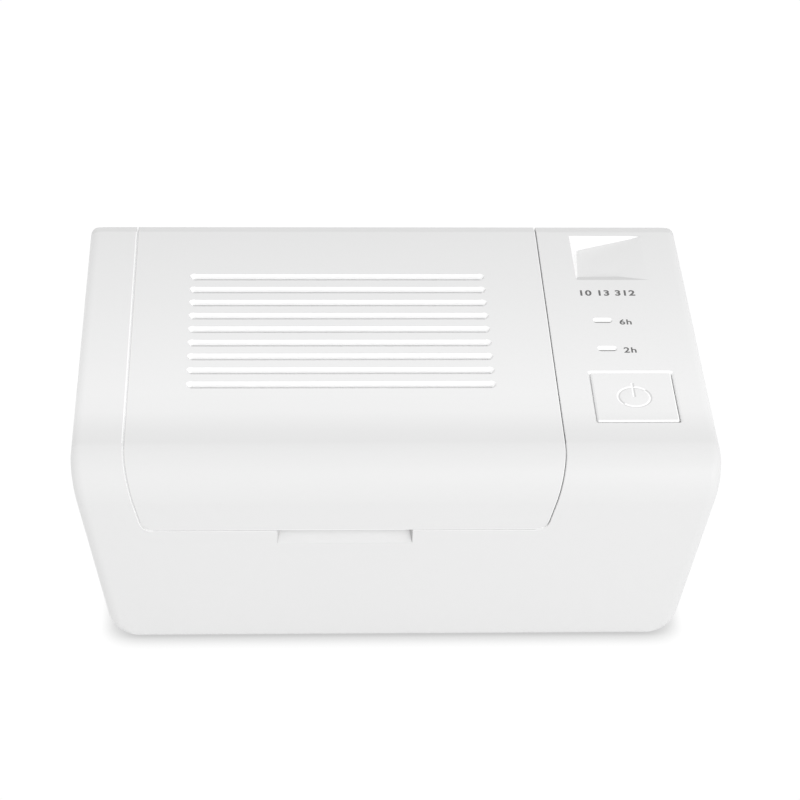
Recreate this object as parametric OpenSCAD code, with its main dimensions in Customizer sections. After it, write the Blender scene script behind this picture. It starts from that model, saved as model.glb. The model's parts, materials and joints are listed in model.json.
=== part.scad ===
// A desktop dryer for hearing aids: a drafted housing with a vented lid over a
// warm-air chamber, a control panel and a rest for button cells.
// X runs to the right, Y to the rear and Z up. The origin is under the middle of
// the body, on the surface that its feet stand on.

/* [Body] */
// Width of the body across its top
body_w = 124; // [120:1:134]
// Depth of the body from front face to rear face
body_d = 85.5; // [84:0.5:96]
// Height of the body without its feet
body_h = 40.5; // [40:0.5:48]
// Lean of the side walls in degrees, narrower at the base
side_draft = 10.25; // [8:0.25:11]
// Radius of the long front top edge
front_r = 8; // [7:0.5:9]
// Radius of the other top edges and of the upright corners
edge_r = 2.4; // [2:0.1:3]
// Width of the strip along the rear edge where the top starts to fall away
crest_w = 3.6; // [2.6:0.1:4.4]
// Tilt of that strip in degrees
crest_tilt = 15; // [8:1:18]
// Radius where the side walls meet the base
toe_r = 5; // [4:0.5:6]
// Wall of the housing
wall = 2.2; // [2:0.1:2.4]

/* [Lid] */
// Strip of housing on the left of the lid
margin_w = 10.3; // [10:0.1:13]
// Control panel on the right of the lid
panel_w = 30.1; // [29.5:0.1:34]
// Gap all round the lid
seam = 0.2; // [0.15:0.05:0.4]
// Thickness of the lid
lid_t = 2.2; // [1.8:0.1:2.4]
// Drop of the lid's apron down the front face
apron_h = 14.1; // [12:0.1:16]
// Lean of the apron's side edges in degrees
apron_draft = 14; // [10:1:16]
// Radius of the apron's lower corners
apron_r = 2.5; // [1.5:0.5:3.5]
// Thickness of the flanges under the lid's side edges
flange_t = 1.6; // [1.2:0.1:2]
// Clearance between the closed lid and the deck under it
close_gap = 0.3; // [0.2:0.05:0.4]
// Width of the finger scoop under the apron
scoop_w = 25.6; // [20:0.2:30]
// Height of the finger scoop
scoop_h = 3.2; // [2.5:0.1:4]
// Draft of the scoop's two ends over the thickness of the lid
scoop_draft = 0.7; // [0.3:0.1:1]

/* [Lid vents] */
// Number of slots in the lid
vent_n = 9; // [6:1:10]
// Width of a slot at the lid's face
vent_w = 2.4; // [2:0.1:2.6]
// Width of a slot at its throat
vent_throat = 1.1; // [0.8:0.1:1.4]
// Depth of a slot's flare
vent_flare = 0.9; // [0.6:0.1:1.2]
// Distance from the lid's left edge to the slots
vent_left = 11.2; // [10:0.1:13]
// Distance from the slots to the lid's right edge
vent_right = 11.8; // [10:0.1:13]
// Distance from the front face to the middle of the front slot
vent_front = 27.5; // [26:0.1:30]
// Distance from the middle of the rear slot to the rear face
vent_rear = 20.6; // [20:0.1:24]

/* [Lid liner] */
// Thickness of the liner under the lid
liner_t = 1.2; // [1:0.1:1.5]
// Air space between the lid and its liner
liner_gap = 1.4; // [1:0.1:1.8]
// Radius of the posts that carry the liner
liner_post_r = 2.2; // [1.8:0.1:2.6]
// Radius of the staking pins on those posts
liner_pin_r = 1.1; // [0.9:0.1:1.3]
// Distance from the middle of a corner post to the liner's edges
liner_post_in = 4; // [3:0.5:5]

/* [Hinge] */
// Distance of the hinge axis from the top face and from the rear face
hinge_in = 4.8; // [4.6:0.1:5.2]
// Radius of a hinge pin
pin_r = 1; // [0.8:0.05:1.1]
// Length of a hinge pin
pin_l = 12; // [10:0.5:14]
// Depth that a pin is set into the housing
pin_seat = 4.6; // [4:0.1:5]
// Running clearance of the lid on its pins
pin_gap = 0.05; // [0.03:0.01:0.08]
// Radius of the lid's hinge knuckles
knuckle_r = 2.8; // [2.4:0.1:3]
// Length of a hinge knuckle
knuckle_l = 9; // [8.5:0.5:12]
// Clearance round the lid's rear edge as it swings
swing_gap = 0.35; // [0.3:0.05:0.5]
// Wall under the trough that the lid's rear edge swings in
trough_t = 1.6; // [1.4:0.1:2]

/* [Battery rest] */
// Distance from the lid to the rest
rest_left = 7.05; // [6:0.05:8]
// Length of the rest along X
rest_l = 15.2; // [14:0.1:17]
// Width of the rest along Y
rest_w = 16.5; // [15:0.1:18]
// Distance from the rest to the rear face
rest_rear = 5.1; // [4.5:0.1:7]
// Depth of the rest at its rear left corner
rest_deep = 3.5; // [3:0.1:3.8]
// Depth of the rest at its front left corner
rest_front = 1.3; // [0.8:0.1:1.6]
// Depth of the rest at its front right corner
rest_lip = 1.2; // [0.3:0.1:1.6]
// Run of the left wall for one millimetre of depth
rest_lean = 0.5; // [0.3:0.05:0.7]
// Run of the slope along the front of the rest
rest_ramp = 3; // [1:0.1:4]

/* [Button and windows] */
// Side of the square hole for the button
button_w = 16.2; // [14:0.1:16.5]
// Distance from the lid to the button's middle
button_left = 14.85; // [14:0.05:16]
// Distance from the front face to the button's middle
button_front = 23.5; // [22:0.1:25]
// Gap round the button
button_gap = 0.2; // [0.15:0.05:0.4]
// Travel of the button
button_travel = 0.5; // [0.3:0.1:0.8]
// Thickness of the button's cap
button_t = 2; // [1.6:0.1:2.4]
// Bevel round the button's hole
hole_bevel = 0.4; // [0.2:0.05:0.5]
// Bevel round the button's cap
cap_bevel = 0.25; // [0.2:0.05:0.35]
// Length of an indicator window
window_l = 4.1; // [3.6:0.1:5]
// Width of an indicator window
window_w = 1.8; // [1.6:0.1:2.2]
// Flare at an indicator window's edge
window_flare = 0.2; // [0.1:0.05:0.3]
// Distance from the lid to the windows' middle
window_left = 11.1; // [10.5:0.1:12]
// Distance from the front face to the front window's middle
window_front = 39.5; // [39:0.1:41]
// Distance from one window to the next
window_pitch = 9.8; // [9:0.1:11]

/* [Chamber] */
// Wall of the chamber tub
tub_wall = 1.5; // [1.2:0.1:1.8]
// Width of the tub's flange
tub_flange = 2.6; // [2.2:0.1:3]
// Thickness of the tub's flange
tub_flange_t = 1.4; // [1.2:0.1:1.6]
// Radius of the tub's upright corners
tub_r = 7; // [5:0.5:9]
// Radius where the tub's walls meet its floor
tub_floor_r = 3; // [2:0.5:4]
// Draw of the tub's walls from rim to floor
tub_draw = 1; // [0.6:0.1:1.4]
// Distance from the front face to the tub's mouth
tub_front = 14; // [13.5:0.1:16]
// Distance from the lid's side edges to the tub's mouth
tub_side = 5.6; // [5.2:0.1:7]
// Thickness of the deck that carries the tub
deck_t = 3; // [2.6:0.1:3.4]
// Width of an air slot in the tub's floor
air_slot_w = 3; // [2:0.2:3.6]
// Distance from one air slot to the next
air_slot_pitch = 7; // [6:0.5:8]

/* [Tray] */
// Clearance of the tray inside the tub
tray_gap = 1; // [0.8:0.1:1.5]
// Height of the tray's feet
tray_foot_h = 2; // [1.5:0.1:2.5]
// Thickness of the tray
tray_t = 1.2; // [1:0.1:1.5]
// Height of the tray's rim above its floor
tray_rim_h = 7; // [5:0.5:9]

/* [Heater] */
// Height of the space for the heater above the base cover
heater_space = 9.6; // [9.4:0.1:11]
// Size of the heater plate along X
heater_plate_w = 60; // [54:1:62]
// Size of the heater plate along Y
heater_plate_d = 50; // [49:0.5:51]
// Thickness of the heater plate
heater_plate_t = 1.5; // [1.2:0.1:1.6]
// Height of the bosses that the heater plate hangs on
heater_boss_h = 2.4; // [2.2:0.1:2.6]
// Length of the heating element
element_l = 30; // [26:1:32]
// Width of the heating element
element_w = 16; // [15.5:0.5:18]
// Thickness of the heating element
element_t = 2.5; // [2.2:0.1:2.6]
// Thickness of the clamp strap
clamp_t = 0.8; // [0.6:0.1:1]
// Width of the clamp strap
clamp_w = 9; // [8:0.5:10]
// Radius of a heater lead
lead_r = 0.7; // [0.5:0.1:0.8]
// Radius of the leads' bend
lead_bend = 4; // [3:0.5:5]

/* [Electronics] */
// Distance from the top face to the board's upper side
board_drop = 9.1; // [9:0.1:9.6]
// Thickness of the board
board_t = 1.6; // [1.2:0.2:1.6]
// Width of the power socket
socket_w = 9; // [8:0.5:9.5]
// Height of the power socket
socket_h = 10.6; // [10:0.1:11]
// Length of the power socket
socket_l = 13; // [12:0.5:14]
// Radius of the socket's barrel
socket_r = 3; // [2.8:0.1:3.2]
// Radius of the socket's centre pin
socket_pin_r = 1.05; // [0.9:0.05:1.2]
// Side of the push switch
switch_w = 6; // [5.5:0.5:6.5]
// Height of the push switch
switch_h = 3.5; // [3:0.1:4]

/* [Base and feet] */
// Thickness of the base cover
base_t = 2.2; // [2:0.1:2.6]
// Clearance round the base cover
base_gap = 0.2; // [0.1:0.05:0.3]
// Height that the feet stand proud of the body
foot_proud = 0.7; // [0.5:0.1:1]
// Depth of a foot's pocket
foot_seat = 0.8; // [0.6:0.1:1]
// Radius of a foot
foot_r = 4; // [3:0.5:4.5]
// Length of an air intake slot in the base cover
intake_l = 34; // [28:1:38]
// Width of an air intake slot
intake_w = 2; // [1.6:0.2:2.6]
// Distance from one intake slot to the next
intake_pitch = 6; // [5:0.5:6.5]
// Radius of a base screw's shank
screw_r = 1.1; // [0.9:0.1:1.2]
// Radius of a screw boss
boss_r = 2.9; // [2.6:0.1:3]

/* [Hidden] */

$fn = 48;
eps = 0.01;

// Colours of the mouldings and the metal
white = [0.93, 0.93, 0.93];
soft_white = [0.88, 0.89, 0.89];
rubber = [0.55, 0.56, 0.57];
steel = [0.68, 0.69, 0.7];
alloy = [0.78, 0.79, 0.8];
ceramic = [0.85, 0.82, 0.76];
laminate = [0.1, 0.36, 0.2];
black = [0.08, 0.08, 0.08];
brass = [0.8, 0.66, 0.32];
frosted = [0.95, 0.96, 0.97];

// Main planes of the body
front_y = -body_d/2;
rear_y = body_d/2;
base_z = foot_proud;
top_z = foot_proud + body_h;

// Half width of the body at one height, and the same inside its walls
function half_w(z) = body_w/2 - (top_z - z)*tan(side_draft);
function inner_w(z) = half_w(z) - wall/cos(side_draft);

// Centre of the arc where a side wall meets the base
toe_z = base_z + toe_r;
toe_x = half_w(toe_z) - toe_r/cos(side_draft);
sole_r = 0.6;

// Edges of the lid and the levels under it
lid_x0 = -body_w/2 + margin_w;
lid_x1 = body_w/2 - panel_w;
lid_cx = (lid_x0 + lid_x1)/2;
apron_z = top_z - apron_h;
apron_in_y = front_y + lid_t + seam;
crown_y = front_y + front_r + 1;
deck_z = top_z - lid_t - liner_gap - liner_t - close_gap;
flange_z = deck_z + close_gap;
lid_under_z = top_z - lid_t;
cheek_t = 1.8;

// Slots of the lid, and those of its liner, which lie between them
vent_l = lid_x1 - lid_x0 - vent_left - vent_right;
vent_x = lid_x0 + vent_left + vent_l/2;
vent_pitch = (body_d - vent_front - vent_rear)/(vent_n - 1);
liner_slot_in = 2;
liner_slot_w = 1.6;

// Hinge axis, and the circle that the lid's rear edge swings in
axis_y = rear_y - hinge_in;
axis_z = top_z - hinge_in;
reach_r = (hinge_in - edge_r)*sqrt(2) + edge_r;
lip_drop = sqrt(reach_r*reach_r - hinge_in*hinge_in) - 0.05;
trough_r = reach_r + swing_gap;
trough_y = axis_y - trough_r - trough_t;

// Chamber tub
tub_x0 = lid_x0 + tub_side;
tub_x1 = lid_x1 - tub_side;
tub_y0 = front_y + tub_front;
tub_y1 = trough_y - 0.6 - tub_flange;
tub_cx = (tub_x0 + tub_x1)/2;
tub_cy = (tub_y0 + tub_y1)/2;
tub_hx = (tub_x1 - tub_x0)/2;
tub_hy = (tub_y1 - tub_y0)/2;
tub_under_z = base_z + base_t + heater_space;
tub_floor_z = tub_under_z + tub_wall;
tub_fit = 0.3;
air_slot_l = 2*tub_hy - 18;

// Base cover, its screws and the feet
base_hx = toe_x - 1.5;
base_hy = body_d/2 - 3;
base_r = 4;
base_top = base_z + base_t;
boss_x = base_hx - 6;
boss_y = body_d/2 - 6.2;
foot_x = base_hx - 1.2 - foot_r;
foot_y = boss_y - 2*foot_r - 1.5;
screw_l = 8;
head_r = 2*screw_r;
head_h = screw_r;

// Lid liner
liner_hx = tub_hx + 1.2;
liner_hy = tub_hy;
liner_r = 5;

// Lid bumpers
bumper_r = 1.9;
bumper_seat = 1.2;
bumper_x = tub_hx - 2;
bumper_y = front_y + front_r + 0.6;
bumper_z = lid_under_z - 0.3;

// Control board under the panel
cheek_x = lid_x1 + seam + cheek_t;
board_z = top_z - board_drop;
board_x0 = cheek_x + 1.6;
socket_x = inner_w(board_z - board_t - socket_h) - 0.4 - socket_w/2;
board_x1 = socket_x + socket_w/2 + 0.5;
board_y0 = front_y + 10;
board_y1 = boss_y - boss_r - 1;
socket_z = board_z - board_t - socket_h/2;
socket_y = rear_y - wall - 0.1;
panel_under_z = top_z - wall;
stud_r = 2.2;
stud_x0 = board_x0 + stud_r + 0.5;
stud_x1 = board_x1 - stud_r - 0.2;
stud_y0 = front_y + window_front - 4.2;
stud_y1 = rear_y - rest_rear - rest_w - wall - stud_r - 0.3;
stud_screw_r = 0.9;
stud_grip = 4;

// Button and windows
button_x = lid_x1 + button_left;
button_y = front_y + button_front;
cap_hw = button_w/2 - button_gap;
cap_lip = 0.8;
cap_lip_t = 0.8;
cap_r = 0.4;
plunger_r = 1.75;
plunger_z = board_z + switch_h + 1;
window_x = lid_x1 + window_left;
window_ys = [front_y + window_front, front_y + window_front + window_pitch];
pipe_inset = 0.3;
pipe_fit = 0.1;
led_h = 0.8;

// Battery rest
rest_x0 = lid_x1 + rest_left;
rest_x1 = rest_x0 + rest_l;
rest_y1 = rear_y - rest_rear;
rest_y0 = rest_y1 - rest_w;
rest_feather = 0.05;
rest_fade = 5;
rest_draft = 0.3;
rest_n = 6;

// Heater
heater_top_z = tub_under_z - heater_boss_h;
heater_low_z = heater_top_z - heater_plate_t;
heater_hole_x = heater_plate_w/2 - 4;
heater_hole_y = heater_plate_d/2 - 3;
element_z = heater_low_z - element_t;
clamp_arm = 6;
chip_l = 5;
chip_h = 1.6;
chip_y = tub_cy - 2*chip_l;
can_r = 3.1;
can_h = 7.5;
plug_w = 4;
plug_l = 6;
plug_h = 5.6;
lead_z = element_z + element_t/2;
lead_x = board_x0 + plug_w/2 + 0.2;
lead_ys = [tub_cy + clamp_w/2 + lead_r + 0.3, tub_cy + clamp_w/2 + 3*lead_r + 0.6];
cutout_r = 4.2;
cutout_h = 2.6;
cutout_tab_l = 13;
cutout_tab_w = 2.4;
cutout_tab_t = 0.8;

// Tray
tray_hx = tub_hx - tub_draw - tray_gap;
tray_hy = tub_hy - tub_draw - tray_gap;
tray_z = tub_floor_z + tray_foot_h;
tray_r = tub_r - tub_draw - tray_gap;

// A slab between two X, two Y and two Z values
module slab(x0, x1, y0, y1, z0, z1) {
    translate([x0, y0, z0]) cube([x1 - x0, y1 - y0, z1 - z0]);
}

// Sweeps a Y-Z outline along X, or an X-Z outline along Y
module along_x(x0, x1) {
    translate([x0, 0, 0]) rotate([90, 0, 90]) linear_extrude(x1 - x0) children();
}
module along_y(y0, y1) {
    translate([0, y1, 0]) rotate([90, 0, 0]) linear_extrude(y1 - y0) children();
}

// A rectangle with round corners, about the origin
module round_rect(hx, hy, r) {
    union() {
        translate([-hx + r, -hy]) square([2*(hx - r), 2*hy]);
        translate([-hx, -hy + r]) square([2*hx, 2*(hy - r)]);
        for (sx = [-1, 1], sy = [-1, 1]) translate([sx*(hx - r), sy*(hy - r)]) circle(r);
    }
}

// An upright block with round corners
module round_block(cx, cy, hx, hy, r, z0, z1) {
    translate([cx, cy, z0]) linear_extrude(z1 - z0) round_rect(hx, hy, r);
}

// A stadium slot along X, cut down from the height z
module stadium(l, w, z0, z1) {
    translate([0, 0, z0]) linear_extrude(z1 - z0) union() {
        square([l - w, w], center = true);
        for (s = [-1, 1]) translate([s*(l - w)/2, 0]) circle(w/2);
    }
}

// A slot along X whose mouth flares from its throat up to the face at z = 0
module flared_slot(l, w, throat, flare, depth) {
    run = l - w;
    stadium(run + throat, throat, -depth, 0.5);
    along_x(-run/2, run/2)
        polygon([[-throat/2, -flare], [throat/2, -flare], [w/2, 0], [w/2, 0.5], [-w/2, 0.5], [-w/2, 0]]);
    for (s = [-1, 1]) translate([s*run/2, 0, 0]) rotate([0, 0, s*-90]) rotate_extrude(angle = 180)
        polygon([[0, -flare], [throat/2, -flare], [w/2, 0], [w/2, 0.5], [0, 0.5]]);
}

// The convex solid that a list of points spans
module convex(points) {
    hull() polyhedron(points, [for (i = [0:len(points) - 3]) [i, i + 1, i + 2]]);
}

// Points round a rectangle with round corners, at the height z
function ring(cx, cy, hx, hy, r, z, n) = [
    for (q = [0:3], i = [0:n])
        let (a = 90*q + 90*i/n)
        [cx + (q == 0 || q == 3 ? 1 : -1)*(hx - r) + r*cos(a), cy + (q < 2 ? 1 : -1)*(hy - r) + r*sin(a), z]
];

// Points over a side edge, where an arc of radius r about (yc, zc) turns into a side wall.
// inset draws the wall in, e is the radius of the edge, and the arc runs from a0 to a1.
function edge_fan(side, inset, yc, zc, r, e, a0, a1, n, m) = [
    for (i = [0:n], j = [0:m])
        let (a = a0 + (a1 - a0)*i/n, b = 90*j/m, q = r - e + e*cos(b), z = zc + q*sin(a))
        [side*(half_w(z) - inset - e + e*sin(b)), yc + q*cos(a), z]
];

// How far the sole's edge is drawn in at the height z
function sole_in(z) =
    z - base_z < sole_r ? sole_r - sqrt(sole_r*sole_r - pow(sole_r - z + base_z, 2)) : 0;

// The outer form of the body
function body_points() = concat(
    [for (s = [-1, 1]) each
        edge_fan(s, 0, front_y + front_r, top_z - front_r, front_r, edge_r, 90, 180, 12, 6)],
    [for (s = [-1, 1]) each
        edge_fan(s, 0, rear_y - edge_r, top_z - edge_r, edge_r, edge_r, 0, 90, 6, 6)],
    [for (i = [0:8]) let (a = -90 + (90 - side_draft)*i/8, z = toe_z + toe_r*sin(a)) each
        ring(0, 0, toe_x + toe_r*cos(a), body_d/2 - sole_in(z), edge_r, z, 6)]
);

// The hollow inside its walls
function hollow_points() = concat(
    [for (s = [-1, 1]) each
        edge_fan(s, wall/cos(side_draft), front_y + front_r, top_z - front_r, front_r - wall, 0.8, 90, 180, 6, 2)],
    [for (s = [-1, 1]) each
        edge_fan(s, wall/cos(side_draft), rear_y - wall - 0.8, top_z - wall - 0.8, 0.8, 0.8, 0, 90, 2, 2)],
    ring(0, 0, inner_w(base_top), body_d/2 - wall, 0.8, base_top, 2)
);

// Side view of what is taken off above the falling strip, drawn in by a wall
module crest_cut(inset) {
    y0 = rear_y - crest_w - inset*tan(crest_tilt/2);
    z1 = top_z - inset;
    polygon([[y0, z1], [y0 + 10, z1 - 10*tan(crest_tilt)], [y0 + 10, z1 + 10], [y0, z1 + 10]]);
}

// Side view of the body, drawn in by a wall
module body_section(inset) {
    y0 = front_y + inset;
    y1 = rear_y - inset;
    z1 = top_z - inset;
    rf = front_r - inset;
    rr = max(edge_r - inset, 0.2);
    difference() {
        union() {
            translate([y0 + rf, base_z]) square([y1 - rr - y0 - rf, z1 - base_z]);
            translate([y0, base_z]) square([y1 - y0, z1 - base_z - rf]);
            translate([y0 + rf, base_z]) square([y1 - y0 - rf, z1 - base_z - rr]);
            translate([y0 + rf, z1 - rf]) circle(rf, $fn = 96);
            translate([y1 - rr, z1 - rr]) circle(rr);
        }
        crest_cut(inset);
    }
}

// Front view of the apron, grown by a gap, open at the top
module apron_face(grow) {
    t = tan(apron_draft);
    r = apron_r + grow;
    zb = apron_z - grow;
    zc = zb + r;
    x0 = lid_x0 - grow;
    x1 = lid_x1 + grow;
    xc0 = x0 + (top_z - zc)*t + r/cos(apron_draft);
    xc1 = x1 - (top_z - zc)*t - r/cos(apron_draft);
    dx = r*cos(apron_draft);
    dz = r*sin(apron_draft);
    union() {
        polygon([
            [x0 - t, top_z + 1], [xc0 - dx, zc - dz], [xc0, zc], [xc0, zb],
            [xc1, zb], [xc1, zc], [xc1 + dx, zc - dz], [x1 + t, top_z + 1]
        ]);
        translate([xc0, zc]) circle(r);
        translate([xc1, zc]) circle(r);
    }
}

// The room that the lid takes in the housing: over the deck, down the front and in the trough
module lid_room() {
    x0 = lid_x0 - seam;
    x1 = lid_x1 + seam;
    slab(x0, x1, crown_y, rear_y + 1, deck_z, top_z + 1);
    intersection() {
        along_y(front_y - 1, crown_y + eps) apron_face(seam);
        along_x(x0 - 1, x1 + 1) union() {
            translate([front_y - 2, deck_z]) square([front_r + 4, top_z + 2 - deck_z]);
            difference() {
                translate([front_y - 2, apron_z - 2]) square([front_r + 4, apron_h + 4]);
                body_section(lid_t + seam);
            }
        }
    }
    along_x(x0, x1) translate([axis_y, axis_z]) circle(trough_r, $fn = 96);
    slab(x0, x1, axis_y - trough_r, rear_y + 1, axis_z, top_z + 1);
}

// What is left standing in the housing's hollow
module inner_walls() {
    x0 = lid_x0 - seam - cheek_t;
    slab(x0, cheek_x, front_y, rear_y, deck_z - deck_t, top_z);
    slab(x0, cheek_x, front_y, apron_in_y + wall, apron_z - scoop_h - wall, top_z);
    along_x(x0, cheek_x) translate([axis_y, axis_z]) circle(trough_r + trough_t, $fn = 96);
    slab(x0, cheek_x, axis_y, rear_y, axis_z - trough_r - trough_t, top_z);
    along_x(lid_x0 - seam - pin_seat - 1, lid_x0) translate([axis_y, axis_z]) circle(knuckle_r + 0.6);
    along_x(lid_x1, lid_x1 + seam + pin_seat + 1) translate([axis_y, axis_z]) circle(knuckle_r + 0.6);
    for (sx = [-1, 1], sy = [-1, 1]) translate([sx*boss_x, sy*boss_y, base_top]) cylinder(h = top_z - base_top, r = boss_r);
    for (x = [stud_x0, stud_x1], y = [stud_y0, stud_y1]) translate([x, y, board_z]) cylinder(h = top_z - board_z, r = stud_r);
    slab(rest_x0 - wall, rest_x1 + wall, rest_y0 - wall, rest_y1 + wall, top_z - rest_deep - wall, top_z);
}

// The pocket that button cells are laid in: its floor falls towards the rear left corner.
// u runs from left to right and v from front to rear.
function mix(a, b, t) = a + (b - a)*t;
function rest_depth(u, v) = mix(mix(rest_front, rest_deep, v), mix(rest_lip, rest_feather, v), u);
function rest_floor(u, v) = let (left = rest_x0 + rest_lean*mix(rest_front, rest_deep, v)) [
    mix(left, rest_x1 - mix(rest_lip, rest_feather, v)*rest_fade, u),
    mix(rest_y0 + rest_ramp, rest_y1 - rest_draft, v),
    top_z - rest_depth(u, v)
];
function rest_rim(u, v, z) = [mix(rest_x0, rest_x1, u), mix(rest_y0, rest_y1, v), z];
rest_edge = concat(
    [for (i = [0:rest_n - 1]) [i, 0]], [for (i = [0:rest_n - 1]) [rest_n, i]],
    [for (i = [0:rest_n - 1]) [rest_n - i, rest_n]], [for (i = [0:rest_n - 1]) [0, rest_n - i]]
);
module battery_pocket() {
    n = rest_n;
    m = 4*n;
    g = (n + 1)*(n + 1);
    floor_at = [for (e = rest_edge) e[1]*(n + 1) + e[0]];
    polyhedron(
        points = concat(
            [for (j = [0:n], i = [0:n]) rest_floor(i/n, j/n)],
            [for (e = rest_edge) rest_rim(e[0]/n, e[1]/n, top_z)],
            [for (e = rest_edge) rest_rim(e[0]/n, e[1]/n, top_z + 1)]
        ),
        faces = concat(
            [for (j = [0:n - 1], i = [0:n - 1]) let (a = j*(n + 1) + i) each [[a, a + 1, a + n + 2], [a, a + n + 2, a + n + 1]]],
            [for (k = [0:m - 1]) let (l = (k + 1)%m) each [
                [floor_at[l], floor_at[k], g + k], [floor_at[l], g + k, g + l],
                [g + l, g + k, g + m + k, g + m + l]
            ]],
            [[for (k = [0:m - 1]) g + 2*m - 1 - k]]
        )
    );
}

// The finger scoop, a ramp that runs in behind the apron's lower edge between two drafted ends
module scoop() {
    intersection() {
        along_x(lid_cx - scoop_w/2 - 1, lid_cx + scoop_w/2 + 1) polygon([
            [front_y - 1, apron_z + 1], [apron_in_y, apron_z + 1], [apron_in_y, apron_z - seam],
            [front_y, apron_z - scoop_h], [front_y - 1, apron_z - scoop_h - 1]
        ]);
        translate([lid_cx, 0, apron_z - scoop_h - 2]) linear_extrude(scoop_h + 4) polygon([
            [-scoop_w/2 - scoop_draft, front_y - lid_t], [-scoop_w/2 + scoop_draft, front_y + lid_t],
            [scoop_w/2 - scoop_draft, front_y + lid_t], [scoop_w/2 + scoop_draft, front_y - lid_t]
        ]);
    }
}

module housing() {
    color(white) difference() {
        convex(body_points());
        difference() {
            convex(hollow_points());
            inner_walls();
        }
        lid_room();
        round_block(tub_cx, tub_cy, tub_hx + tub_wall + tub_fit, tub_hy + tub_wall + tub_fit,
            tub_r + tub_wall + tub_fit, deck_z - deck_t - 1, deck_z + 1);
        round_block(tub_cx, tub_cy, tub_hx + tub_flange + 0.2, tub_hy + tub_flange + 0.2,
            tub_r + tub_flange + 0.2, deck_z - tub_flange_t, deck_z + 1);
        for (s = [-1, 1]) translate([tub_cx + s*bumper_x, bumper_y, deck_z - bumper_seat])
            cylinder(h = bumper_seat + 1, r = bumper_r + 0.05);
        battery_pocket();
        scoop();
        along_x(-body_w, body_w) crest_cut(0);
        for (y = window_ys) translate([window_x, y, top_z])
            flared_slot(window_l, window_w, window_w - 2*window_flare, window_flare, wall + 1);
        round_block(button_x, button_y, button_w/2, button_w/2, cap_r, panel_under_z - 1, top_z + 1);
        convex(concat(
            ring(button_x, button_y, button_w/2 - 0.5, button_w/2 - 0.5, cap_r, top_z - hole_bevel - 0.5, 4),
            ring(button_x, button_y, button_w/2 + hole_bevel + 0.5, button_w/2 + hole_bevel + 0.5, cap_r + hole_bevel, top_z + 0.5, 4)
        ));
        round_block(0, 0, base_hx + base_gap, base_hy + base_gap, base_r + base_gap, base_z - 1, base_top + eps);
        for (sx = [-1, 1], sy = [-1, 1]) translate([sx*boss_x, sy*boss_y, base_top - 1])
            cylinder(h = screw_l + 2, r = screw_r + 0.05);
        for (x = [stud_x0, stud_x1], y = [stud_y0, stud_y1]) translate([x, y, board_z - 1])
            cylinder(h = stud_grip + 1.5, r = stud_screw_r + 0.05);
        along_x(lid_x0 - seam - pin_seat, lid_x0) translate([axis_y, axis_z]) circle(pin_r + 0.01);
        along_x(lid_x1, lid_x1 + seam + pin_seat) translate([axis_y, axis_z]) circle(pin_r + 0.01);
        along_y(socket_y - 1, rear_y + 1) translate([socket_x, socket_z]) circle(socket_r + 1.2);
    }
}

module base_cover() {
    color(white) difference() {
        union() {
            round_block(0, 0, base_hx, base_hy, base_r, base_z, base_top);
            translate([button_x, button_y, base_z]) cylinder(h = board_z - board_t - base_z, r = 2.5);
        }
        for (sx = [-1, 1], sy = [-1, 1]) translate([sx*boss_x, sy*boss_y, base_z]) {
            translate([0, 0, -1]) cylinder(h = base_t + 2, r = screw_r + 0.15);
            translate([0, 0, -1]) cylinder(h = head_h + 1.1, r = head_r + 0.15);
        }
        for (sx = [-1, 1], sy = [-1, 1]) translate([sx*foot_x, sy*foot_y, base_z - 1])
            cylinder(h = foot_seat + 1, r = foot_r + 0.05);
        for (i = [-4:4]) translate([tub_cx + i*intake_pitch, tub_cy, base_z]) rotate([0, 0, 90])
            stadium(intake_l, intake_w, -1, base_t + 1);
    }
}

module rubber_feet() {
    color(rubber) for (sx = [-1, 1], sy = [-1, 1]) translate([sx*foot_x, sy*foot_y, 0]) {
        cylinder(h = 0.3, r1 = foot_r - 0.3, r2 = foot_r);
        translate([0, 0, 0.3]) cylinder(h = base_z + foot_seat - 0.3, r = foot_r);
    }
}

// A pan-head screw that points up, with its head's seat at the origin
module screw(r, l) {
    cylinder(h = l - r, r = r);
    translate([0, 0, l - r]) cylinder(h = r, r1 = r, r2 = r/2);
    translate([0, 0, -0.6*r]) cylinder(h = 0.6*r, r = 2*r);
    translate([0, 0, -r]) cylinder(h = 0.4*r, r1 = 1.7*r, r2 = 2*r);
}

module base_screws() {
    color(steel) for (sx = [-1, 1], sy = [-1, 1]) translate([sx*boss_x, sy*boss_y, base_z + head_h + 0.1])
        screw(screw_r, screw_l);
}

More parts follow.
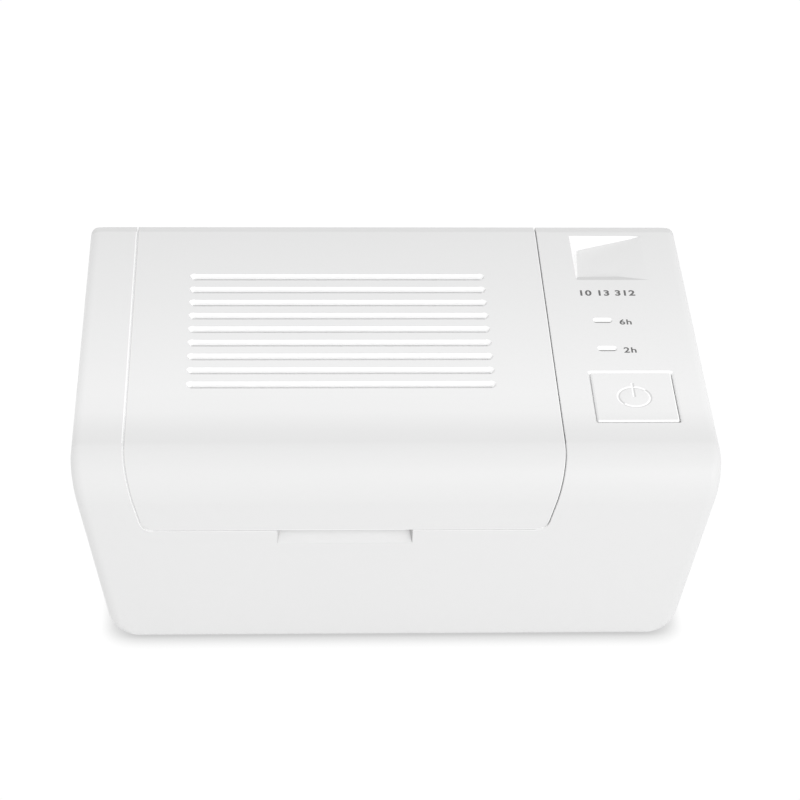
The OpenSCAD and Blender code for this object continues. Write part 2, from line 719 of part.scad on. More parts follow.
module lid() {
    color(white) difference() {
        union() {
            intersection() {
                along_x(lid_x0 - 1, lid_x1 + 1) difference() {
                    body_section(0);
                    body_section(lid_t);
                }
                union() {
                    slab(lid_x0, lid_x1, crown_y, rear_y + 1, axis_z - lip_drop, top_z + 1);
                    along_y(front_y - 1, crown_y) apron_face(0);
                }
            }
            slab(lid_x0, lid_x0 + flange_t, crown_y, axis_y, flange_z, lid_under_z + eps);
            slab(lid_x1 - flange_t, lid_x1, crown_y, axis_y, flange_z, lid_under_z + eps);
            for (x = [lid_x0, lid_x1 - knuckle_l]) {
                along_x(x, x + knuckle_l) translate([axis_y, axis_z]) circle(knuckle_r);
                slab(x, x + knuckle_l, axis_y - knuckle_r, rear_y - lid_t + eps, axis_z, lid_under_z + eps);
            }
            for (sx = [-1, 1], sy = [-1, 1])
                translate([tub_cx + sx*(liner_hx - liner_post_in), tub_cy + sy*(liner_hy - liner_post_in), 0]) {
                    translate([0, 0, lid_under_z - liner_gap]) cylinder(h = liner_gap + eps, r = liner_post_r);
                    translate([0, 0, flange_z]) cylinder(h = liner_t + eps, r = liner_pin_r);
                }
        }
        for (i = [0:vent_n - 1]) translate([vent_x, front_y + vent_front + i*vent_pitch, top_z])
            flared_slot(vent_l, vent_w, vent_throat, vent_flare, lid_t + 1);
        along_x(lid_x0 - 1, lid_x0 + knuckle_l + 1) translate([axis_y, axis_z]) circle(pin_r + pin_gap);
        along_x(lid_x1 - knuckle_l - 1, lid_x1 + 1) translate([axis_y, axis_z]) circle(pin_r + pin_gap);
    }
}

module lid_liner() {
    color(soft_white) difference() {
        round_block(tub_cx, tub_cy, liner_hx, liner_hy, liner_r, flange_z, flange_z + liner_t);
        for (sx = [-1, 1], sy = [-1, 1])
            translate([tub_cx + sx*(liner_hx - liner_post_in), tub_cy + sy*(liner_hy - liner_post_in), flange_z - 1])
                cylinder(h = liner_t + 2, r = liner_pin_r + 0.05);
        for (i = [0:vent_n - 2]) translate([vent_x, front_y + vent_front + (i + 0.5)*vent_pitch, 0])
            stadium(vent_l - 2*liner_slot_in, liner_slot_w, flange_z - 1, flange_z + liner_t + 1);
    }
}

module hinge_pins() {
    color(steel) {
        along_x(lid_x0 - seam - pin_seat, lid_x0 - seam - pin_seat + pin_l) translate([axis_y, axis_z]) circle(pin_r);
        along_x(lid_x1 + seam + pin_seat - pin_l, lid_x1 + seam + pin_seat) translate([axis_y, axis_z]) circle(pin_r);
    }
}

module lid_bumpers() {
    color(rubber) for (s = [-1, 1]) translate([tub_cx + s*bumper_x, bumper_y, 0]) {
        translate([0, 0, deck_z - bumper_seat]) cylinder(h = bumper_z - 0.5 - deck_z + bumper_seat, r = bumper_r);
        translate([0, 0, bumper_z - 0.5]) cylinder(h = 0.5, r1 = bumper_r, r2 = bumper_r - 0.5);
    }
}

// Points of the tub's form, grown by a wall, from its floor up to the height z1
function tub_points(grow, floor_z, z1) = concat(
    [for (i = [0:5])
        let (a = 18*i, r = tub_floor_r + grow, d = tub_draw + r*(1 - cos(a)))
        each ring(tub_cx, tub_cy, tub_hx + grow - d, tub_hy + grow - d, max(tub_r + grow - d, 0.5),
            floor_z + r - r*sin(a), 6)],
    ring(tub_cx, tub_cy, tub_hx + grow, tub_hy + grow, tub_r + grow, z1, 6)
);

module chamber_tub() {
    color(soft_white) difference() {
        union() {
            convex(tub_points(tub_wall, tub_under_z, deck_z));
            round_block(tub_cx, tub_cy, tub_hx + tub_flange, tub_hy + tub_flange, tub_r + tub_flange,
                deck_z - tub_flange_t, deck_z);
            for (sx = [-1, 1], sy = [-1, 1])
                translate([tub_cx + sx*heater_hole_x, tub_cy + sy*heater_hole_y, heater_top_z])
                    cylinder(h = heater_boss_h + 0.5, r = 2.6);
        }
        convex(tub_points(0, tub_floor_z, deck_z + 1));
        for (i = [-4:4]) translate([tub_cx + i*air_slot_pitch, tub_cy, 0]) rotate([0, 0, 90])
            stadium(air_slot_l, air_slot_w, tub_under_z - 1, tub_floor_z + 1);
        for (sx = [-1, 1], sy = [-1, 1])
            translate([tub_cx + sx*heater_hole_x, tub_cy + sy*heater_hole_y, heater_top_z - 1])
                cylinder(h = heater_boss_h + 1.5, r = 0.95);
    }
}

module aid_tray() {
    color(white) difference() {
        union() {
            round_block(tub_cx, tub_cy, tray_hx, tray_hy, tray_r, tray_z, tray_z + tray_t + tray_rim_h);
            for (sx = [-1, 1], sy = [-1, 1])
                translate([tub_cx + sx*(tray_hx - 6), tub_cy + sy*(tray_hy - 6), tub_floor_z])
                    cylinder(h = tray_foot_h + eps, r = 1.8);
        }
        for (s = [-1, 1])
            round_block(tub_cx + s*(tray_hx/2 - tray_t/4), tub_cy, tray_hx/2 - tray_t*3/4, tray_hy - tray_t, tray_r - tray_t,
                tray_z + tray_t, tray_z + tray_t + tray_rim_h + 1);
        for (sx = [-1, 1], i = [-2:2]) translate([tub_cx + sx*tray_hx/2 + i*5.5, tub_cy, 0]) rotate([0, 0, 90])
            stadium(2*tray_hy - 14, 2.4, tray_z - 1, tray_z + tray_t + 1);
        for (s = [-1, 1]) translate([tub_cx, tub_cy + s*tray_hy, tray_z + tray_t + tray_rim_h]) rotate([90, 0, 0])
            cylinder(h = 2*tray_t + 2, r = 6, center = true);
    }
}

module heater_plate() {
    color(alloy) difference() {
        slab(tub_cx - heater_plate_w/2, tub_cx + heater_plate_w/2, tub_cy - heater_plate_d/2, tub_cy + heater_plate_d/2,
            heater_low_z, heater_top_z);
        for (sx = [-1, 1], sy = [-1, 1])
            translate([tub_cx + sx*heater_hole_x, tub_cy + sy*heater_hole_y, heater_low_z - 1])
                cylinder(h = heater_plate_t + 2, r = 1.05);
    }
}

module heater_element() {
    color(ceramic) slab(tub_cx - element_l/2, tub_cx + element_l/2, tub_cy - element_w/2, tub_cy + element_w/2,
        element_z, heater_low_z);
}

// A strap bent like a hat: its brim lies on the plate and its crown holds the element
module heater_clamp() {
    x = element_l/2 + 0.3;
    color(steel) along_y(tub_cy - clamp_w/2, tub_cy + clamp_w/2) translate([tub_cx, 0]) polygon([
        [-x - clamp_arm, heater_low_z], [-x - clamp_arm, heater_low_z - clamp_t],
        [-x - clamp_t, heater_low_z - clamp_t], [-x - clamp_t, element_z - clamp_t],
        [x + clamp_t, element_z - clamp_t], [x + clamp_t, heater_low_z - clamp_t],
        [x + clamp_arm, heater_low_z - clamp_t], [x + clamp_arm, heater_low_z],
        [x, heater_low_z], [x, element_z], [-x, element_z], [-x, heater_low_z]
    ]);
}

module heater_screws() {
    color(steel) for (sx = [-1, 1], sy = [-1, 1])
        translate([tub_cx + sx*heater_hole_x, tub_cy + sy*heater_hole_y, heater_low_z]) screw(0.9, heater_plate_t + heater_boss_h);
}

module thermal_cutout() {
    can_z = heater_low_z - cutout_h;
    color(black) translate([tub_cx, tub_cy + element_w/2 + cutout_r + 2, 0]) {
        translate([0, 0, can_z]) cylinder(h = cutout_h, r = cutout_r);
        slab(-cutout_tab_l/2, cutout_tab_l/2, -cutout_tab_w/2, cutout_tab_w/2, can_z - cutout_tab_t, can_z);
    }
}

// Two leads from the element, along the base and up to the plug on the board
module heater_leads() {
    x0 = tub_cx + element_l/2;
    color([0.75, 0.12, 0.1]) for (y = lead_ys) translate([0, y, 0]) {
        translate([x0, 0, lead_z]) rotate([0, 90, 0]) cylinder(h = lead_x - lead_bend - x0, r = lead_r);
        translate([lead_x - lead_bend, 0, lead_z + lead_bend]) rotate([90, 0, 0]) rotate([0, 0, -90])
            rotate_extrude(angle = 90) translate([lead_bend, 0]) circle(lead_r);
        translate([lead_x, 0, lead_z + lead_bend]) cylinder(h = board_z - board_t - plug_h - lead_z - lead_bend, r = lead_r);
    }
}

module control_board() {
    color(laminate) difference() {
        slab(board_x0, board_x1, board_y0, board_y1, board_z - board_t, board_z);
        for (x = [stud_x0, stud_x1], y = [stud_y0, stud_y1]) translate([x, y, board_z - board_t - 1])
            cylinder(h = board_t + 2, r = stud_screw_r + 0.2);
    }
}

module board_components() {
    under_z = board_z - board_t;
    plug_y = (lead_ys[0] + lead_ys[1])/2;
    color(black) {
        slab(lead_x - plug_w/2, lead_x + plug_w/2, plug_y - plug_l/2, plug_y + plug_l/2, under_z - plug_h, under_z);
        for (start = [chip_y, chip_y + 2*chip_l])
            slab(button_x - chip_l/2, button_x + chip_l/2, start, start + chip_l, under_z - chip_h, under_z);
        translate([button_x, chip_y + 3*chip_l + can_r + 1, under_z - can_h]) cylinder(h = can_h, r = can_r);
    }
}

module board_screws() {
    color(steel) for (x = [stud_x0, stud_x1], y = [stud_y0, stud_y1]) translate([x, y, board_z - board_t])
        screw(stud_screw_r, board_t + stud_grip);
}

module tactile_switch() {
    color(black) difference() {
        slab(button_x - switch_w/2, button_x + switch_w/2, button_y - switch_w/2, button_y + switch_w/2,
            board_z, board_z + switch_h);
        translate([button_x, button_y, board_z + switch_h - button_travel - 0.6])
            cylinder(h = button_travel + 2, r = plunger_r + 0.1);
    }
}

module switch_plunger() {
    color(soft_white) translate([button_x, button_y, board_z + switch_h - 0.3]) cylinder(h = plunger_z - board_z - switch_h + 0.3, r = plunger_r);
}

module power_button() {
    lip_hw = button_w/2 + cap_lip;
    lip_z = panel_under_z - 0.2 - cap_lip_t;
    color(white) {
        difference() {
            union() {
                convex(concat(
                    ring(button_x, button_y, cap_hw, cap_hw, cap_r, lip_z, 4),
                    ring(button_x, button_y, cap_hw, cap_hw, cap_r, top_z - cap_bevel, 4),
                    ring(button_x, button_y, cap_hw - cap_bevel, cap_hw - cap_bevel, cap_r - cap_bevel, top_z, 4)
                ));
                round_block(button_x, button_y, lip_hw, lip_hw, cap_r, lip_z, lip_z + cap_lip_t);
            }
            round_block(button_x, button_y, cap_hw - 1.6, cap_hw - 1.6, cap_r, lip_z - 1, top_z - button_t);
        }
        translate([button_x, button_y, plunger_z]) cylinder(h = top_z - button_t - plunger_z + eps, r = 2.6);
    }
}

// A light pipe: a stem in its window, with a collar under the panel
module light_pipe(y) {
    throat = window_w - 2*window_flare;
    length = window_l - window_w + throat;
    color(frosted) translate([window_x, y, 0]) {
        stadium(length - 2*pipe_fit, throat - 2*pipe_fit, panel_under_z - 1, top_z - pipe_inset);
        slab(-length/2 - 0.8, length/2 + 0.8, -throat/2 - 0.8, throat/2 + 0.8, panel_under_z - 1, panel_under_z);
        stadium(length, throat + 0.4, board_z + led_h + 0.3, panel_under_z - 1 + eps);
    }
}

module light_pipe_rear() {
    light_pipe(window_ys[1]);
}

module light_pipe_front() {
    light_pipe(window_ys[0]);
}

module indicator_leds() {
    color([0.9, 0.95, 0.85]) for (y = window_ys) translate([window_x, y, board_z]) slab(-1, 1, -0.6, 0.6, 0, led_h);
}

module power_socket() {
    color(black) difference() {
        slab(socket_x - socket_w/2, socket_x + socket_w/2, socket_y - socket_l, socket_y, socket_z - socket_h/2, socket_z + socket_h/2);
        along_y(socket_y - socket_l + 3, socket_y + 1) translate([socket_x, socket_z]) circle(socket_r);
    }
}

module socket_contacts() {
    y0 = socket_y - socket_l + 3;
    color(brass) {
        along_y(y0, socket_y - 0.8) translate([socket_x, socket_z]) circle(socket_pin_r);
        along_y(y0, y0 + 0.6) translate([socket_x, socket_z]) circle(socket_r - 0.2);
    }
}

housing();
base_cover();
rubber_feet();
base_screws();
lid();
lid_liner();
hinge_pins();
lid_bumpers();
chamber_tub();
aid_tray();
heater_plate();
heater_element();
heater_clamp();
heater_screws();
thermal_cutout();
heater_leads();
control_board();
board_components();
board_screws();
tactile_switch();
switch_plunger();
power_button();
light_pipe_rear();
light_pipe_front();
indicator_leds();
power_socket();
socket_contacts();
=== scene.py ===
# %% [markdown]
# A desktop dryer for hearing aids: a white moulded housing with a vented lid over a warm
# chamber, and a strip of controls beside it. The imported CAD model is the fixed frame, so each
# piece below is made in its coordinates. Sizes are in metres, written as millimetres times MM.

# %% Load the frame
import json
import math

import bmesh
import bpy
from mathutils import Matrix, Vector
from mathutils.geometry import delaunay_2d_cdt

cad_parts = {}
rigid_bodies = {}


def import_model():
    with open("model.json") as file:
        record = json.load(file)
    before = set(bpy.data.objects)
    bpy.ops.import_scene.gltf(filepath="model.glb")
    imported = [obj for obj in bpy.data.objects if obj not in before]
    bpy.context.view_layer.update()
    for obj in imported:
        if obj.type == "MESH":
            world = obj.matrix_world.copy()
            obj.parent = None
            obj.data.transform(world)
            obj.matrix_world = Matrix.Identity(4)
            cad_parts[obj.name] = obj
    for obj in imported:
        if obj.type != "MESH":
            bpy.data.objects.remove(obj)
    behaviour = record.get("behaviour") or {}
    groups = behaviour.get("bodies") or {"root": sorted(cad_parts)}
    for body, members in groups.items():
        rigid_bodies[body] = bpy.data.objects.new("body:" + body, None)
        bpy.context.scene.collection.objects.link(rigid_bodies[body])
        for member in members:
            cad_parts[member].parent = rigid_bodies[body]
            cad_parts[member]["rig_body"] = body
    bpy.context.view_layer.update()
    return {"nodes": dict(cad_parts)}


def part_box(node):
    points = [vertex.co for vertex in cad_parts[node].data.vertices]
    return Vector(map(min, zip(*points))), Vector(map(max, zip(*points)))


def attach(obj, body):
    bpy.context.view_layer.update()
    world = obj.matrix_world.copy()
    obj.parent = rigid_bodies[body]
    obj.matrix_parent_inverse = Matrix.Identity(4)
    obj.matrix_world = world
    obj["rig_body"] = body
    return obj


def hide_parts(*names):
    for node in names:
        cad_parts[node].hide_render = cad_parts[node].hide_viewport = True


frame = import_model()
scene = bpy.context.scene
MM = 0.001

# %% [markdown]
# The camera stands in front of the dryer and looks down on its lid, a little from the left.
# It could be turned with a Track To constraint, but a fixed place and three turns keep the
# lean of the photograph, which no target point can give. So its axes are worked out here.

# %% Camera
CAMERA_PLACE = Vector((-23.98, -447.48, 357.82)) * MM
CAMERA_YAW, CAMERA_PITCH, CAMERA_ROLL = (math.radians(a) for a in (3.35, 36.5, 1.89))
SENSOR_MM = 36
PHOTO_PIXELS = 800
FOCAL_PIXELS = 2753.38
CLIP_NEAR, CLIP_FAR = 0.01, 20


def linked(name, data):
    """A new object in the scene, at the origin."""
    item = bpy.data.objects.new(name, data)
    scene.collection.objects.link(item)
    return item


def camera_axes(yaw, pitch, roll):
    """The camera's right, up and look directions, for a turn, a tilt down and a lean."""
    level = math.cos(pitch)
    look = Vector((math.sin(yaw) * level, math.cos(yaw) * level, -math.sin(pitch)))
    side = Vector((math.cos(yaw), -math.sin(yaw), 0))
    right = side * math.cos(roll) + side.cross(look) * math.sin(roll)
    return right, right.cross(look), look


right, up, look = camera_axes(CAMERA_YAW, CAMERA_PITCH, CAMERA_ROLL)
turn = Matrix((right, up, -look)).transposed().to_4x4()
camera = linked("camera", bpy.data.cameras.new("camera"))
camera.matrix_world = Matrix.Translation(CAMERA_PLACE) @ turn
camera.data.sensor_width = SENSOR_MM
camera.data.lens = SENSOR_MM * FOCAL_PIXELS / PHOTO_PIXELS
camera.data.clip_start, camera.data.clip_end = CLIP_NEAR, CLIP_FAR
scene.camera = camera
print("camera lens:", round(camera.data.lens, 1), "mm")

# %% [markdown]
# Materials and Geometry Nodes are both webs of nodes, and wiring them one call at a time hides
# the idea. Wire wraps an output socket so that ordinary arithmetic adds the Math nodes, and
# Net.add makes any other node from its type, its sockets and its settings.

# %% Arithmetic on sockets
class Wire:
    """An output socket on which arithmetic works: each operator adds one Math node."""

    def __init__(self, net, socket):
        self.net = net
        self.socket = socket

    def math(self, operation, first, second):
        return self.net.add("ShaderNodeMath", {0: first, 1: second}, operation=operation)

    def __add__(self, other):
        return self.math("ADD", self, other)

    def __radd__(self, other):
        return self.math("ADD", other, self)

    def __sub__(self, other):
        return self.math("SUBTRACT", self, other)

    def __rsub__(self, other):
        return self.math("SUBTRACT", other, self)

    def __mul__(self, other):
        return self.math("MULTIPLY", self, other)

    def __rmul__(self, other):
        return self.math("MULTIPLY", other, self)


def set_stops(ramp, stops):
    """Gives a colour ramp its stops, as pairs of a place and a grey."""
    while len(ramp.elements) < len(stops):
        ramp.elements.new(1)
    for element, (place, level) in zip(ramp.elements, stops):
        element.position = place
        element.color = (level, level, level, 1)


class Net:
    """A node tree that is being wired."""

    def __init__(self, tree):
        self.tree = tree

    def add(self, kind, inputs=None, output=0, **settings):
        """Adds a node and returns one of its outputs. Settings are set before the sockets."""
        node = self.tree.nodes.new(kind)
        for name, value in settings.items():
            if name == "stops":
                set_stops(node.color_ramp, value)
            else:
                setattr(node, name, value)
        for socket, value in (inputs or {}).items():
            if isinstance(value, Wire):
                self.tree.links.new(value.socket, node.inputs[socket])
            else:
                node.inputs[socket].default_value = value
        return Wire(self, node.outputs[output]) if len(node.outputs) else node


def empty_net(owner):
    """The node tree of a material or of the world, with nothing in it yet."""
    owner.use_nodes = True
    owner.node_tree.nodes.clear()
    return Net(owner.node_tree)


# %% [markdown]
# Every finish here is one Principled surface with detail at three scales: a slow drift of tone
# from the moulding or rolling, patches of gloss from handling, and a fine grain that only the
# bump carries. A flat colour would look like an unlit drawing. Noise on Object coordinates is
# used instead of an image, because it has no seams and stays put when the piece moves.

# %% Colours and noise
MIX_FACTOR, MIX_FIRST, MIX_SECOND, MIX_COLOUR_OUT = 0, 6, 7, 2


def grey(level):
    return (level, level, level, 1)


def toned(colour, factor):
    """A colour made lighter or darker by a factor, and never past white."""
    return tuple(min(1, c * factor) for c in colour[:3]) + (1,)


def mix_colours(net, factor, first, second, blend_type="MIX"):
    return net.add("ShaderNodeMix", {MIX_FACTOR: factor, MIX_FIRST: first, MIX_SECOND: second},
                   output=MIX_COLOUR_OUT, data_type="RGBA", blend_type=blend_type)


def noise(net, place, size, detail, stretch=None):
    """Cloudy noise from 0 to 1 whose lumps are about size across, or longer along an axis."""
    if stretch:
        place = net.add("ShaderNodeMapping", {"Vector": place, "Scale": stretch})
    return net.add("ShaderNodeTexNoise", {"Vector": place, "Scale": 1 / size, "Detail": detail})


def depth_ramp(net, place, painted_shade):
    """A grey that follows Y, for painted shade along the depth. Its last argument holds pairs
    of a place on Y and a level.
    """
    start, length = painted_shade[0][0], painted_shade[-1][0] - painted_shade[0][0]
    depth = net.add("ShaderNodeSeparateXYZ", {"Vector": place}, output="Y")
    stops = [((y - start) / length, level) for y, level in painted_shade]
    return net.add("ShaderNodeValToRGB", {"Fac": (depth - start) * (1 / length)}, stops=stops)


# %% [markdown]
# The builder puts the three scales together. The drift mixes two tones of the colour, the
# patches move the roughness a little to both sides of its middle, and the grain is a bump.
# Numbers that are the same all over go straight into the shader's own sockets.

# %% Surface builder
TONE_DETAIL, FINE_DETAIL = 3, 2
GLOSS_PATCHES = 6
FULL = 1.0


def finish(name, colour, drift, drift_size, gloss, gloss_drift, grain, grain_depth,
           stretch=None, metal=0.0, uniform=None, painted_shade=None):
    """A material: its colour drifts over drift_size, its roughness is near gloss, and its
    grain is a bump grain_depth deep. uniform holds sockets that are the same all over, and
    the last argument holds pairs of a depth y and a factor on the colour, a painted shade along Y."""
    material = bpy.data.materials.new(name + "_finish")
    net = empty_net(material)
    place = net.add("ShaderNodeTexCoord", output="Object")
    tone = mix_colours(net, noise(net, place, drift_size, TONE_DETAIL, stretch),
                       toned(colour, 1 - drift), toned(colour, 1 + drift))
    # Painted shade: the drifting colour is multiplied by a ramp along Y.
    if painted_shade:
        tone = mix_colours(net, FULL, tone, depth_ramp(net, place, painted_shade), "MULTIPLY")
    patches = noise(net, place, drift_size / GLOSS_PATCHES, FINE_DETAIL, stretch)
    relief = net.add("ShaderNodeBump", {
        "Strength": FULL, "Distance": grain_depth,
        "Height": noise(net, place, grain, FINE_DETAIL, stretch)})
    sockets = {"Base Color": tone, "Normal": relief, "Metallic": metal,
               "Roughness": patches * (2 * gloss_drift) + (gloss - gloss_drift)}
    surface = net.add("ShaderNodeBsdfPrincipled", {**sockets, **(uniform or {})})
    net.add("ShaderNodeOutputMaterial", {"Surface": surface})
    return material


# %% [markdown]
# The shell is white ABS from a finely blasted mould: nearly matt, with a soft sheen. The slot
# flares, window rims and button hole are cut by polished steel in the same mould, so they are
# glossier; their whiter colour and a little emission are a painted highlight. The seam walls get
# a painted glow, a little emission on the lit side of each gap, and darker copies of the white
# are painted shade where faces turn from the lamp or lie under the lid. The panel's painted
# shade along its depth follows the photograph: a ramp on the Y coordinate darkens the rear and
# a band before the front edge, which the even light of a tent alone can't. They are finishes on
# one piece, given face by face.

# %% White plastics
SHELL_GREY = 0.9
# Painted shade along the depth: darker at the rear and in a band before the front edge.
PANEL_PAINTED_SHADE = [(y * MM, level) for y, level in (
    (-44, 0.918), (-34.7, 0.918), (-33.5, 0.887), (-30, 0.908), (-24, 0.986), (-18, 1.0),
    (-10, 0.987), (15, 0.933), (39, 0.886), (39.3, 0.826), (44, 0.826))]


def painted_glow(ior, glow):
    """The sockets of a plastic with a painted glow: a little emission that makes it brighter."""
    return {"IOR": ior, "Emission Color": grey(1.0), "Emission Strength": glow}


def shell_finish_with_painted_light(name, tone=SHELL_GREY, glow=0.0):
    """The shell's blasted white with the panel's painted shade, made darker as painted shade,
    or given a painted glow.
    """
    return finish(name, grey(tone), drift=0.006, drift_size=30 * MM, gloss=0.42, gloss_drift=0.04,
                  grain=0.16 * MM, grain_depth=0.0012 * MM, painted_shade=PANEL_PAINTED_SHADE,
                  uniform=painted_glow(ior=1.5, glow=glow))


shell_white = shell_finish_with_painted_light("shell_white")
# Painted glow: emission that brightens seam walls and rims on the side the lamp lights.
bright_seam = shell_finish_with_painted_light("bright_seam", glow=0.18)
pale_seam = shell_finish_with_painted_light("pale_seam", glow=0.13)
dim_seam = shell_finish_with_painted_light("dim_seam", glow=0.02)
faint_seam = shell_finish_with_painted_light("faint_seam", glow=0.2)
# Painted shade: darker whites for faces turned from the lamp, the scoop under the lid and the
# deepest rims.
shaded_white = shell_finish_with_painted_light("shaded_white", tone=0.72)
recess_white = shell_finish_with_painted_light("recess_white", tone=0.88)
dark_rim = shell_finish_with_painted_light("dark_rim", tone=0.5)
# Polished cuts: glossier, with a whiter colour and a little emission as a painted highlight.
polished_cut = finish("polished_cut", grey(0.97), drift=0.004, drift_size=10 * MM, gloss=0.25,
                      gloss_drift=0.03, grain=0.3 * MM, grain_depth=0.0004 * MM,
                      uniform=painted_glow(ior=1.5, glow=0.14))
# The plain shell white, then its copies with painted highlight, painted glow and painted shade.
SHELL_FINISHES_AND_PAINTED_LIGHT = (shell_white, polished_cut, bright_seam, pale_seam, dim_seam, shaded_white,
                  recess_white, dark_rim, faint_seam)
PLAIN, POLISHED_HIGHLIGHT, BRIGHT, PALE, DIM, SHADED, RECESS_SHADE, DEEP_SHADE, FAINT = range(len(SHELL_FINISHES_AND_PAINTED_LIGHT))
print("white plastics:", [material.name for material in SHELL_FINISHES_AND_PAINTED_LIGHT])

# %% [markdown]
# The windows are frosted acrylic with a painted glow, and a second, darker finish is the painted
# shade of the strip that lies in the shade of the rim. The tub, the tray and the liner inside are
# a duller white that stands the heat. These plastics differ from the shell in gloss and grain, so
# each gets numbers of its own.

# %% Window and tray plastics
ACRYLIC_IOR = 1.55

soft_white = finish("soft_white", grey(0.8), drift=0.01, drift_size=20 * MM, gloss=0.5,
                    gloss_drift=0.05, grain=0.2 * MM, grain_depth=0.002 * MM)
# Frosted acrylic with a painted glow: a little emission that keeps it bright.
frosted = finish("frosted_window", grey(0.96), drift=0.01, drift_size=2 * MM, gloss=0.3,
                 gloss_drift=0.06, grain=0.12 * MM, grain_depth=0.002 * MM,
                 uniform=painted_glow(ACRYLIC_IOR, glow=0.12))
# Painted shade for the front strip of each window.
window_shade = finish("window_shade", grey(0.33), drift=0.02, drift_size=2 * MM, gloss=0.4,
                      gloss_drift=0.05, grain=0.12 * MM, grain_depth=0.002 * MM,
                      uniform={"IOR": ACRYLIC_IOR})
print("window and tray plastics:", [m.name for m in (soft_white, frosted, window_shade)])

# %% [markdown]
# Inside and below there are rubber, steel, aluminium, brass, black mouldings, red silicone
# leads and the green board. Rolled plate gets noise that is stretched along the metal, which
# reads as brushing, where round lumps would read as a casting. A table keeps them together.

# %% Rubber, metals and the small finishes
METAL = {"metal": 1.0}
ROLLED_METAL = {"metal": 1.0, "stretch": (0.06, 1, 1)}
SMALL_FINISHES = [
    # name, colour, drift and its size, gloss and its drift, grain and its depth; sizes in mm
    ("grey_rubber", grey(0.32), 0.05, 4, 0.75, 0.06, 0.15, 0.01, {}),
    ("plated_steel", (0.62, 0.62, 0.63, 1), 0.05, 3, 0.3, 0.06, 0.08, 0.001, METAL),
    ("rolled_alloy", (0.74, 0.75, 0.76, 1), 0.05, 6, 0.36, 0.08, 0.2, 0.002, ROLLED_METAL),
    ("brass_contact", (0.78, 0.6, 0.28, 1), 0.05, 2, 0.3, 0.05, 0.1, 0.001, METAL),
    ("black_moulding", grey(0.02), 0.1, 4, 0.45, 0.06, 0.12, 0.004, {}),
    ("red_silicone", (0.55, 0.03, 0.025, 1), 0.06, 3, 0.55, 0.06, 0.2, 0.004, {}),
    ("green_laminate", (0.02, 0.16, 0.06, 1), 0.12, 3, 0.35, 0.06, 0.3, 0.004, {}),
    ("led_body", (0.85, 0.88, 0.72, 1), 0.03, 1, 0.25, 0.03, 0.1, 0.001, {}),
    ("print_ink", grey(0.13), 0.08, 1, 0.55, 0.05, 0.08, 0.001, {}),
]
small = {}
for name, colour, drift, size, gloss, gloss_drift, grain, depth, extra in SMALL_FINISHES:
    small[name] = finish(name, colour, drift, size * MM, gloss, gloss_drift, grain * MM,
                         depth * MM, **extra)
print("small finishes:", sorted(small))

# %% [markdown]
# A moulded edge is never sharp. The CAD solids keep their small edges square, so the visible
# shells are copies of them: the loose triangles are merged, flat faces made whole, and each
# outside edge is rounded by a tool radius. Rounding in the mesh, and not by a bump, lets the
# seams catch light from every side. An edge without room beside it is left as it is.

# %% Merging and rounding
SHARP_ANGLE = math.radians(38)
FLAT_ANGLE = math.radians(0.5)
WELD = 0.002 * MM
SLIVER = 0.04 * MM
ROOM_IN_RADII = 2.2
ROUNDING_STEPS = 2


def welded(node):
    """A CAD node's mesh as a bmesh, its loose triangles joined and its flat faces made whole."""
    source = frame["nodes"][node].data
    shape = bmesh.new()
    corners = [shape.verts.new(v.co) for v in source.vertices]
    for polygon in source.polygons:
        shape.faces.new([corners[i] for i in polygon.vertices])
    bmesh.ops.remove_doubles(shape, verts=shape.verts, dist=WELD)
    bmesh.ops.dissolve_limit(shape, angle_limit=FLAT_ANGLE, verts=shape.verts, edges=shape.edges)
    bmesh.ops.dissolve_degenerate(shape, edges=shape.edges, dist=SLIVER)
    return shape


def reach(edge, face):
    """How far a face extends from one of its edges."""
    start = edge.verts[0].co
    along = (edge.verts[1].co - start).normalized()
    return max((v.co - start - (v.co - start).dot(along) * along).length for v in face.verts)


def round_edges(shape, radius):
    """Rounds the outside edges of a bmesh that are sharp and have room for it on both sides."""
    edges = [e for e in shape.edges
             if e.is_manifold and e.is_convex and e.calc_face_angle(0) > SHARP_ANGLE
             and all(reach(e, face) > ROOM_IN_RADII * radius for face in e.link_faces)]
    bmesh.ops.bevel(shape, geom=edges, offset=radius, offset_type="OFFSET",
                    segments=ROUNDING_STEPS, profile=0.5, affect="EDGES", clamp_overlap=False,
                    material=-1)


# %% [markdown]
# A face that winds round holes, such as the lid's top with its nine slots, has many corners,
# and the quick fill that such a face gets can cover a hole. A constrained triangulation keeps
# every side of the outline, and the triangles that lie outside it are dropped.

# %% Splitting the large faces
QUAD = 4
OUTLINE_PRECISION = 1e-6


def is_inside(point, sides):
    """Whether a flat point is inside an outline, by the number of sides to its right."""
    crossed = 0
    for a, b in sides:
        if (a.y > point.y) != (b.y > point.y):
            crossed += point.x < a.x + (point.y - a.y) * (b.x - a.x) / (b.y - a.y)
    return crossed % 2 == 1


